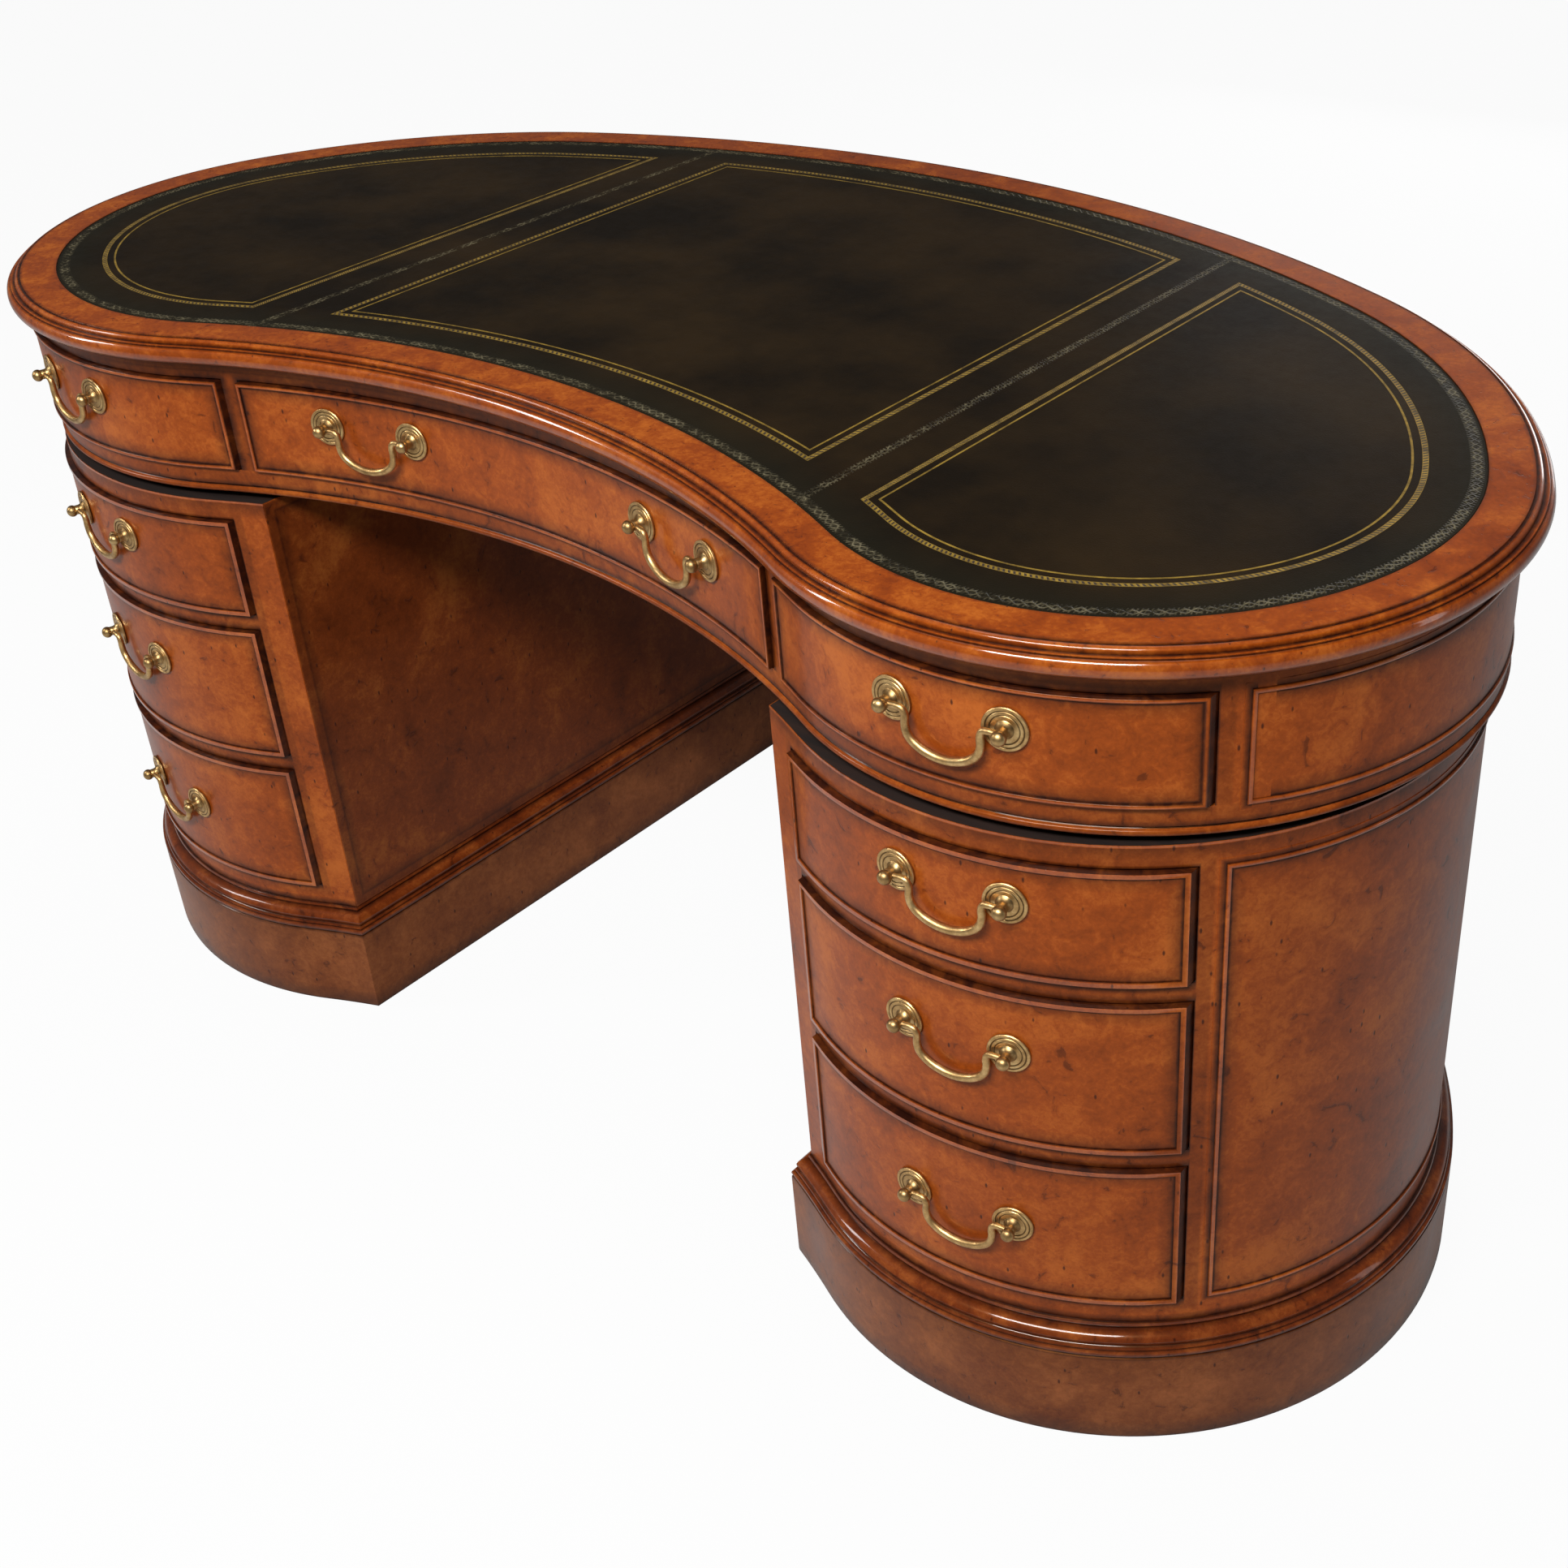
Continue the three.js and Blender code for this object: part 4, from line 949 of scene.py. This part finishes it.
def side_drawer(name, arcs, out, opening, levels, side):
    front, lobe = arcs["front"], arcs["lobe"]
    legs = [
        ("front", math.acos((opening[0] - SPARE) / radius_at(front, out)), LOBE_BEARING, 3),
        ("lobe", LOBE_BEARING - math.pi,
         -math.acos((opening[1] + SPARE / 5 - lobe[0].x) / radius_at(lobe, out)), 40),
    ]
    drawer_front(name, arcs, legs, out, opening, levels, side)


def side_drawers(word, side):
    side_drawer(f"{word}_frieze_drawer", KIDNEY, FRIEZE_OUT, SIDE_OPENING, FRIEZE_LEVEL, side)
    for name, levels in zip(("lower", "middle", "upper"), PEDESTAL_LEVELS):
        side_drawer(f"{word}_{name}_drawer", PEDESTAL, 0, PEDESTAL_OPENING, levels, side)


both_sides(side_drawers)


# %% [markdown]
# ## Beaded panels
# The ends and the backs have no drawers, but a bead frames a panel on each so that the desk looks the same
# all round. Each is a thin sheet whose insets make a darkened margin, the raised bead and a darkened edge
# inside it, partly stain and partly painted shade. The end panels of the pedestals, which face away from the
# light, are painted a little darker all over as painted shade.
# %% Beaded panel
PANEL_MARGIN, PANEL_WALL, PANEL_ROUND, PANEL_REACH = 5, 0.2, 1.3, 0.0235
# The second value is painted shade over the field of a pedestal's end panel
PANEL_SHEET, END_PAINTED_SHADE = 0.0006, 0.06


def raise_panel(bm, tone):
    field = bm.faces[:]
    tint(bm, field, 0.0)
    inset(bm, field, PANEL_MARGIN)
    tint(bm, field, 1.0)
    bead = inset(bm, field, COCKBEAD)
    tint(bm, field, 1.0)
    # On a pedestal's end panel the tone is painted shade over the whole field
    inset_rows(bm, field, [(width, max(dark, tone)) for width, dark in STAIN_AND_SHADE_ROWS])
    inset(bm, bead, PANEL_WALL, SUNK)
    tint(bm, bead, CREST)
    round_off(bm, face_edges(bead), PANEL_ROUND)
    bmesh.ops.solidify(bm, geom=bm.faces[:], thickness=PANEL_SHEET)


def curved_panel(name, arcs, legs, out, levels, side=1, tone=0.0):
    bm = new_bmesh()
    first, last = sweep(bm, arcs, legs, [(out, z) for z in levels])
    ends = [along(arcs, edge.verts[0].co)[0] for edge in first + last]
    bmesh.ops.remove_doubles(bm, verts=bm.verts, dist=TINY)
    clear_columns(bm, arcs, ends, PANEL_REACH)
    outwards(bm, Vector((0.5, 0, levels[0] * MM)))
    raise_panel(bm, tone)
    finish_piece(bm, name, FRONT_VENEER, "desk", arcs=arcs, left=side < 0)


# %% [markdown]
# ## The sides of the kneehole
# Here the wood is plain and flush, a dark sheet between the front and the back of the pedestal: a darker
# copy of the veneer, as painted shade of the kneehole. Its insets lift nothing: they only carry the dark line
# of the joint between post and panel.
# %% Kneehole panel
JOINT_ROWS = [(1.4, 0.1), (7.0, 0.12), (2.2, 0.6), (2.2, 0.3), (8.0, 0.0)]
JOINT_RIM, PANEL_BACK = -0.12, 0.0011


def straight_panel(word, side):
    bm = new_bmesh()
    x = side * (KNEEHOLE_X - PANEL_BACK)
    front_y, back_y = (PEDESTAL[name][0].y + math.sqrt(PEDESTAL[name][1] ** 2 - KNEEHOLE_X ** 2)
                       for name in ("front", "back"))
    bmesh.ops.create_grid(bm, x_segments=8, y_segments=8, size=0.5)
    front_y, back_y = front_y + PANEL_SHEET, back_y - PANEL_SHEET
    bottom, top = CARCASE_Z * MM + 0.0002, LOCATOR_Z * MM - 0.0008
    bmesh.ops.scale(bm, vec=(back_y - front_y, top - bottom, 1), verts=bm.verts)
    for axis in ("X", "Z"):
        bmesh.ops.rotate(bm, cent=(0, 0, 0), matrix=Matrix.Rotation(math.pi / 2, 3, axis), verts=bm.verts)
    bmesh.ops.translate(bm, vec=(x, (front_y + back_y) / 2, (bottom + top) / 2), verts=bm.verts)
    outwards(bm, Vector((side * 0.6, 0, 0.4)))
    field = bm.faces[:]
    tint(bm, field, JOINT_RIM)
    inset_rows(bm, field, JOINT_ROWS)
    bmesh.ops.solidify(bm, geom=bm.faces[:], thickness=PANEL_SHEET)
    finish_piece(bm, f"kneehole_panel_{word}", KNEEHOLE_SHADED_VENEER, "desk", arcs=PEDESTAL)


# %% [markdown]
# ## Panels all round
# The pedestals and the frieze have the same kinds of panel at different distances out, so one table holds
# what differs. The frieze has one more over the kneehole at the back.
# %% Place the panels
def frieze_back_turn(x):
    return math.acos(x / radius_at(KIDNEY["back"], FRIEZE_OUT))


# How far out and between which heights a panel lies
PEDESTAL_PLACE = (1, (145, 597))
FRIEZE_PLACE = (FRIEZE_OUT + 1.2, (637, 742))
# For the end panel the place in X of its front, and for the back panel the turns between which it lies
# and last the painted shade over an end panel's field
PANELS = [
    ("pedestal", PEDESTAL, 0, 0.7225, (BACK_START + 0.006, pedestal_legs(0)[-1][2] - 0.012), PEDESTAL_PLACE,
     END_PAINTED_SHADE),
    ("frieze", KIDNEY, FRIEZE_OUT, 0.731, (BACK_START, frieze_back_turn(0.335)), FRIEZE_PLACE, 0.0),
]
END_STOP = BACK_START - 0.02


def panels(word, side):
    for part, arcs, out, front_x, back, place, tone in PANELS:
        start = -math.acos((front_x - arcs["lobe"][0].x) / radius_at(arcs["lobe"], out))
        end = [("lobe", start, LOBE_END, 44), ("end", LOBE_END, END_STOP, END_STEPS)]
        curved_panel(f"{part}_end_panel_{word}", arcs, end, *place, side, tone)
        curved_panel(f"{part}_back_panel_{word}", arcs, [("back", *back, 30)], *place, side)
    straight_panel(word, side)


both_sides(panels)
back_turn = frieze_back_turn(0.322)
centre_back = [("back", back_turn, math.pi - back_turn, 40)]
curved_panel("frieze_back_panel_centre", KIDNEY, centre_back, *FRIEZE_PLACE)


# %% [markdown]
# ## The handles
# Each handle is a swan neck bail that hangs between two posts. A post was turned on a lathe: a ringed rose,
# a boss, a collar and a ball. Spinning half of its outline about its axis is the same work.
# %% Post
PIVOT_OUT, SPACING, ROSE_GAP, ROSE_RADIUS = 9.5, 96, 0.2, 18
BALL_RADIUS, BALL_OUT, BALL_HEIGHT, BALL_START, LATHE_STEPS = 6, 14.6, 5.4, -48, 36
POST_PROFILE = [
    (0, ROSE_GAP, 1), (17.3, ROSE_GAP, 1), (ROSE_RADIUS, 0.7, 0.4), (ROSE_RADIUS, 1.9, 0.1),
    (17.5, 2.5, 0), (15.6, 2.6, 0), (15.1, 2.1, 0.8),
    (14.6, 2.1, 0.8), (14.2, 2.6, 0), (12.2, 2.8, 0), (11.8, 2.3, 0.8), (11.3, 2.3, 0.8), (10.9, 2.6, 0.1),
    (7.6, 2.6, 0.15), (7.0, 3.1, 0.7), (6.4, 3.9, 0.4), (5.6, 4.9, 0.3), (5.1, 6.2, 0.5), (4.8, 7, 0.3),
    (4.8, 8, 0.3), (4.8, 11.6, 0.3), (4.2, 12.6, 0.8), (3.9, 13.1, 1),
]


def ball_rows(steps=10):
    rows = []
    for step in range(steps):
        turn = math.radians(BALL_START + (90 - BALL_START) * step / steps)
        rows.append((BALL_RADIUS * math.cos(turn), BALL_OUT + BALL_HEIGHT * math.sin(turn),
                     0.45 - 0.25 * math.sin(turn)))
    return rows + [(0, BALL_OUT + BALL_HEIGHT, 0)]


def post(name, place, body):
    bm = new_bmesh()
    shade = bm.verts.layers.float["shade"]
    row = []
    for radius, rise, dark in POST_PROFILE + ball_rows():
        vertex = bm.verts.new((radius * MM, -rise * MM, 0))
        vertex[shade] = dark
        row.append(vertex)
    edges = [bm.edges.new(pair) for pair in zip(row, row[1:])]
    bmesh.ops.spin(bm, geom=row + edges, cent=(0, 0, 0), axis=(0, 1, 0), dvec=(0, 0, 0), angle=2 * math.pi,
                   steps=LATHE_STEPS, use_merge=True, use_duplicate=False)
    bmesh.ops.remove_doubles(bm, verts=bm.verts, dist=TINY)
    bmesh.ops.transform(bm, matrix=place, verts=bm.verts)
    finish_piece(bm, name, BRASS, body, [name.replace("turned_", "")], arcs=None)


# %% [markdown]
# ## The bail
# The bail was cast and bent: thin at its pins, thicker at the middle of its drop. A curve with a radius at
# each point is the natural way, and it is made a mesh before it is put in place.
# %% Bail
BAIL_DROP, PIN_RADIUS, BAIL_RADIUS = 34.5, 2.5, 3.7
PIN_TIP, PIN_END = 0.6, 6.5
BAIL_SHARES = [
    (0.79, 0), (0.69, 0.03), (0.645, 0.16), (0.65, 0.38), (0.605, 0.62), (0.46, 0.82), (0.25, 0.95),
]


def bail(name, place, body):
    half = SPACING / 2
    arm = [(-x * half, -z * BAIL_DROP) for x, z in BAIL_SHARES]
    points = [(-half + PIN_TIP, 0), (-half + PIN_END, 0)] + arm + [(0, -BAIL_DROP)]
    points += [(-x, z) for x, z in reversed(points[:-1])]
    curve = bpy.data.curves.new(name, "CURVE")
    curve.dimensions = "3D"
    curve.bevel_depth = MM
    curve.bevel_resolution = 5
    curve.resolution_u = 5
    curve.use_fill_caps = True
    spline = curve.splines.new("BEZIER")
    spline.bezier_points.add(len(points) - 1)
    for index, (point, (x, z)) in enumerate(zip(spline.bezier_points, points)):
        point.co = (x * MM, 0, z * MM)
        point.handle_left_type = point.handle_right_type = "AUTO"
        share = math.sin(math.pi * index / (len(points) - 1)) ** 2
        point.radius = PIN_RADIUS
        if 1 < index < len(points) - 2:
            point.radius += (BAIL_RADIUS - PIN_RADIUS) * share
    shape = add_object(name, curve)
    bpy.context.view_layer.update()
    mesh = bpy.data.meshes.new_from_object(shape.evaluated_get(bpy.context.evaluated_depsgraph_get()))
    bpy.data.objects.remove(shape)
    bpy.data.curves.remove(curve)
    bm = new_bmesh()
    bm.from_mesh(mesh)
    bpy.data.meshes.remove(mesh)
    bmesh.ops.transform(bm, matrix=place, verts=bm.verts)
    finish_piece(bm, f"cast_{name}", BRASS, body, [name], arcs=None)


# %% [markdown]
# ## Hanging the handles
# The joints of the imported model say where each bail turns, so the handles are placed from them.
# %% Place handles
def handle_matrix(joint):
    across = -Vector(joint["axis"]).normalized()
    up = Vector((0, 0, 1))
    inward = up.cross(across)
    turn = Matrix((across, inward, up)).transposed().to_4x4()
    return Matrix.Translation(Vector(joint["pos_m"])) @ turn


def lean_of(prefix):
    """How far a rose turns from the bail's own plane to lie flat on the bent front"""
    arcs = KIDNEY if "centre" in prefix or "frieze" in prefix else PEDESTAL
    arc = arcs["front" if "centre" in prefix else "lobe"]
    out = (FRIEZE_OUT if arcs is KIDNEY else 0) + FRONT_PROUD - SUNK
    face_radius = radius_at(arc, out) / MM
    chord = 0 if arc[2] > 0 else ROSE_RADIUS ** 2 / face_radius
    pivot = face_radius + arc[2] * (ROSE_GAP + chord + PIVOT_OUT)
    return arc[2] * math.asin(SPACING / 2 / pivot)


def hang_handle(joint):
    prefix = joint["name"].replace("_bail_swing", "")
    place = handle_matrix(joint)
    drawer = joint["parent"]
    for word, end in (("left", -1), ("right", 1)):
        lean = end * lean_of(prefix)
        seat = Matrix.Translation(Vector((
            end * SPACING / 2 - math.sin(lean) * PIVOT_OUT, math.cos(lean) * PIVOT_OUT, 0)) * MM)
        post(f"turned_{prefix}_post_{word}", place @ seat @ Matrix.Rotation(lean, 4, "Z"), drawer)
    bail(f"{prefix}_bail", place, joint["child"])


swings = [joint for joint in frame["joints"] if joint["name"].endswith("_bail_swing")]
for joint in swings:
    hang_handle(joint)
print("hung", len(swings), "handles")

# %% [markdown]
# ## What still shows of the imported solids
# The trays are right as they are and get bare pine. The frieze's core and the carcases show only inside and
# on the thin edges of the openings, where their wood is painted nearly black as the shade in the gaps.
# %% Materials on the imported solids
for name, solid in frame["nodes"].items():
    if name.endswith("_tray"):
        finish = DRAWER_PINE
    elif name.startswith("pedestal_carcase") or name == "frieze_wall":
        finish = CARCASE_PAINTED_SHADE
    else:
        continue
    solid.data.materials.clear()
    solid.data.materials.append(finish)

# %% [markdown]
# ## Floor and backdrop
# The photograph has a white ground, so the camera sees nearly plain white, while the floor keeps the desk's
# shadow. A reflection sees only a little of that white, because more of it would lie as a haze over the
# dark leather and the polish.
# %% Floor
CAMERA_SHARE, MIRROR_SHARE = 0.95, 0.05
FLOOR_HALF = 12


def seen_share(tree):
    """How far a ray sees plain white: a camera ray nearly all, a reflection a little"""
    path = node(tree, "LightPath").outputs
    either = node(tree, "Math", [path["Is Camera Ray"], path["Is Transmission Ray"]], operation="ADD",
                  use_clamp=True)
    straight = node(tree, "Math", [either, CAMERA_SHARE], operation="MULTIPLY")
    return node(tree, "Math", [path["Is Glossy Ray"], MIRROR_SHARE, straight], operation="MULTIPLY_ADD",
                use_clamp=True)


def paper_white():
    material, tree = new_tree("white_paper_sweep")
    paper = node(tree, "BsdfDiffuse", {"Color": "b4b4b4"})
    white = node(tree, "Emission", {"Color": "ffffff", "Strength": 1})
    mixed = node(tree, "MixShader", [seen_share(tree), paper, white])
    node(tree, "OutputMaterial", {"Surface": mixed})
    return material


floor_mesh = bpy.data.meshes.new("floor")
bm = bmesh.new()
bmesh.ops.create_grid(bm, x_segments=1, y_segments=1, size=FLOOR_HALF)
bm.to_mesh(floor_mesh)
bm.free()
floor_mesh.materials.append(paper_white())
add_object("floor", floor_mesh)

# %% [markdown]
# ## Light
# Soft studio light from large panels. The key hangs high in front, a little to the right, and draws the glint
# along the edge of the top. A narrow panel on the left and a weak one on the right light the ends, one over
# the top lights the leather, a low one behind opens up the kneehole, and a faint world fills the shadows.
# %% Lamps and world
def lamp(name, place, target, size, power):
    data = bpy.data.lights.new(name, "AREA")
    data.shape = "RECTANGLE"
    data.size, data.size_y = size
    data.energy = power
    panel = add_object(name, data)
    panel.location = place
    panel.rotation_euler = (Vector(target) - Vector(place)).to_track_quat("-Z", "Y").to_euler()


lamp("key_panel", (0.9, -2.1, 2.75), (0.15, -0.1, 0.5), (1.7, 0.6), 136)
lamp("left_panel", (-2.3, -1.9, 2.0), (0, -0.2, 0.6), (0.4, 1.1), 30)
lamp("top_panel", (-0.4, 0.5, 4.2), (0, 0, 0.6), (2.2, 1.6), 50)
lamp("side_panel", (3.3, 0.9, 0.9), (0.6, 0, 0.45), (0.4, 1.7), 5)
lamp("back_panel", (-0.4, 3.4, 0.75), (0, 0, 0.4), (2.4, 1.0), 28)
world = bpy.data.worlds.new("studio")
bpy.context.scene.world = world
world.use_nodes = True
tree = world.node_tree
tree.nodes.clear()
soft = node(tree, "Background", {"Color": "ffffff", "Strength": 0.08})
bright = node(tree, "Background", {"Color": "ffffff", "Strength": 0.98})
node(tree, "OutputWorld", {"Surface": node(tree, "MixShader", [seen_share(tree), soft, bright])})

# %% [markdown]
# ## Camera
# The camera stands in front of the desk, to the right of it and at about eye height, and looks down across
# the top to the far left. Its place and lens come from the desk's own straight lines in the photograph.
# %% Camera
CAMERA_PLACE = (1.3381, -1.3754, 1.4747)
SENSOR = 36
FRAME_PIXELS = 1932
FOCAL_PIXELS, CENTRE_X, CENTRE_Y = 2570.6, 1139.3, 929.4
YAW, PITCH, ROLL = 0.694, 0.570, -0.048
forward = Vector((-math.sin(YAW) * math.cos(PITCH), math.cos(YAW) * math.cos(PITCH), -math.sin(PITCH)))
level_right = Vector((math.cos(YAW), math.sin(YAW), 0))
level_up = level_right.cross(forward)
right = math.cos(ROLL) * level_right + math.sin(ROLL) * level_up
up = math.cos(ROLL) * level_up - math.sin(ROLL) * level_right
camera_data = bpy.data.cameras.new("camera")
camera_data.sensor_width = SENSOR
camera_data.lens = SENSOR * FOCAL_PIXELS / FRAME_PIXELS
camera_data.shift_x = (FRAME_PIXELS / 2 - CENTRE_X) / FRAME_PIXELS
camera_data.shift_y = (CENTRE_Y - FRAME_PIXELS / 2) / FRAME_PIXELS
camera_data.clip_start, camera_data.clip_end = 0.05, 60
camera = add_object("camera", camera_data)
turn = Matrix((right, up, -forward)).transposed().to_4x4()
camera.matrix_world = Matrix.Translation(CAMERA_PLACE) @ turn
bpy.context.scene.camera = camera
bpy.context.scene.view_settings.view_transform = "Standard"
print("lens", round(camera_data.lens, 2), "mm")
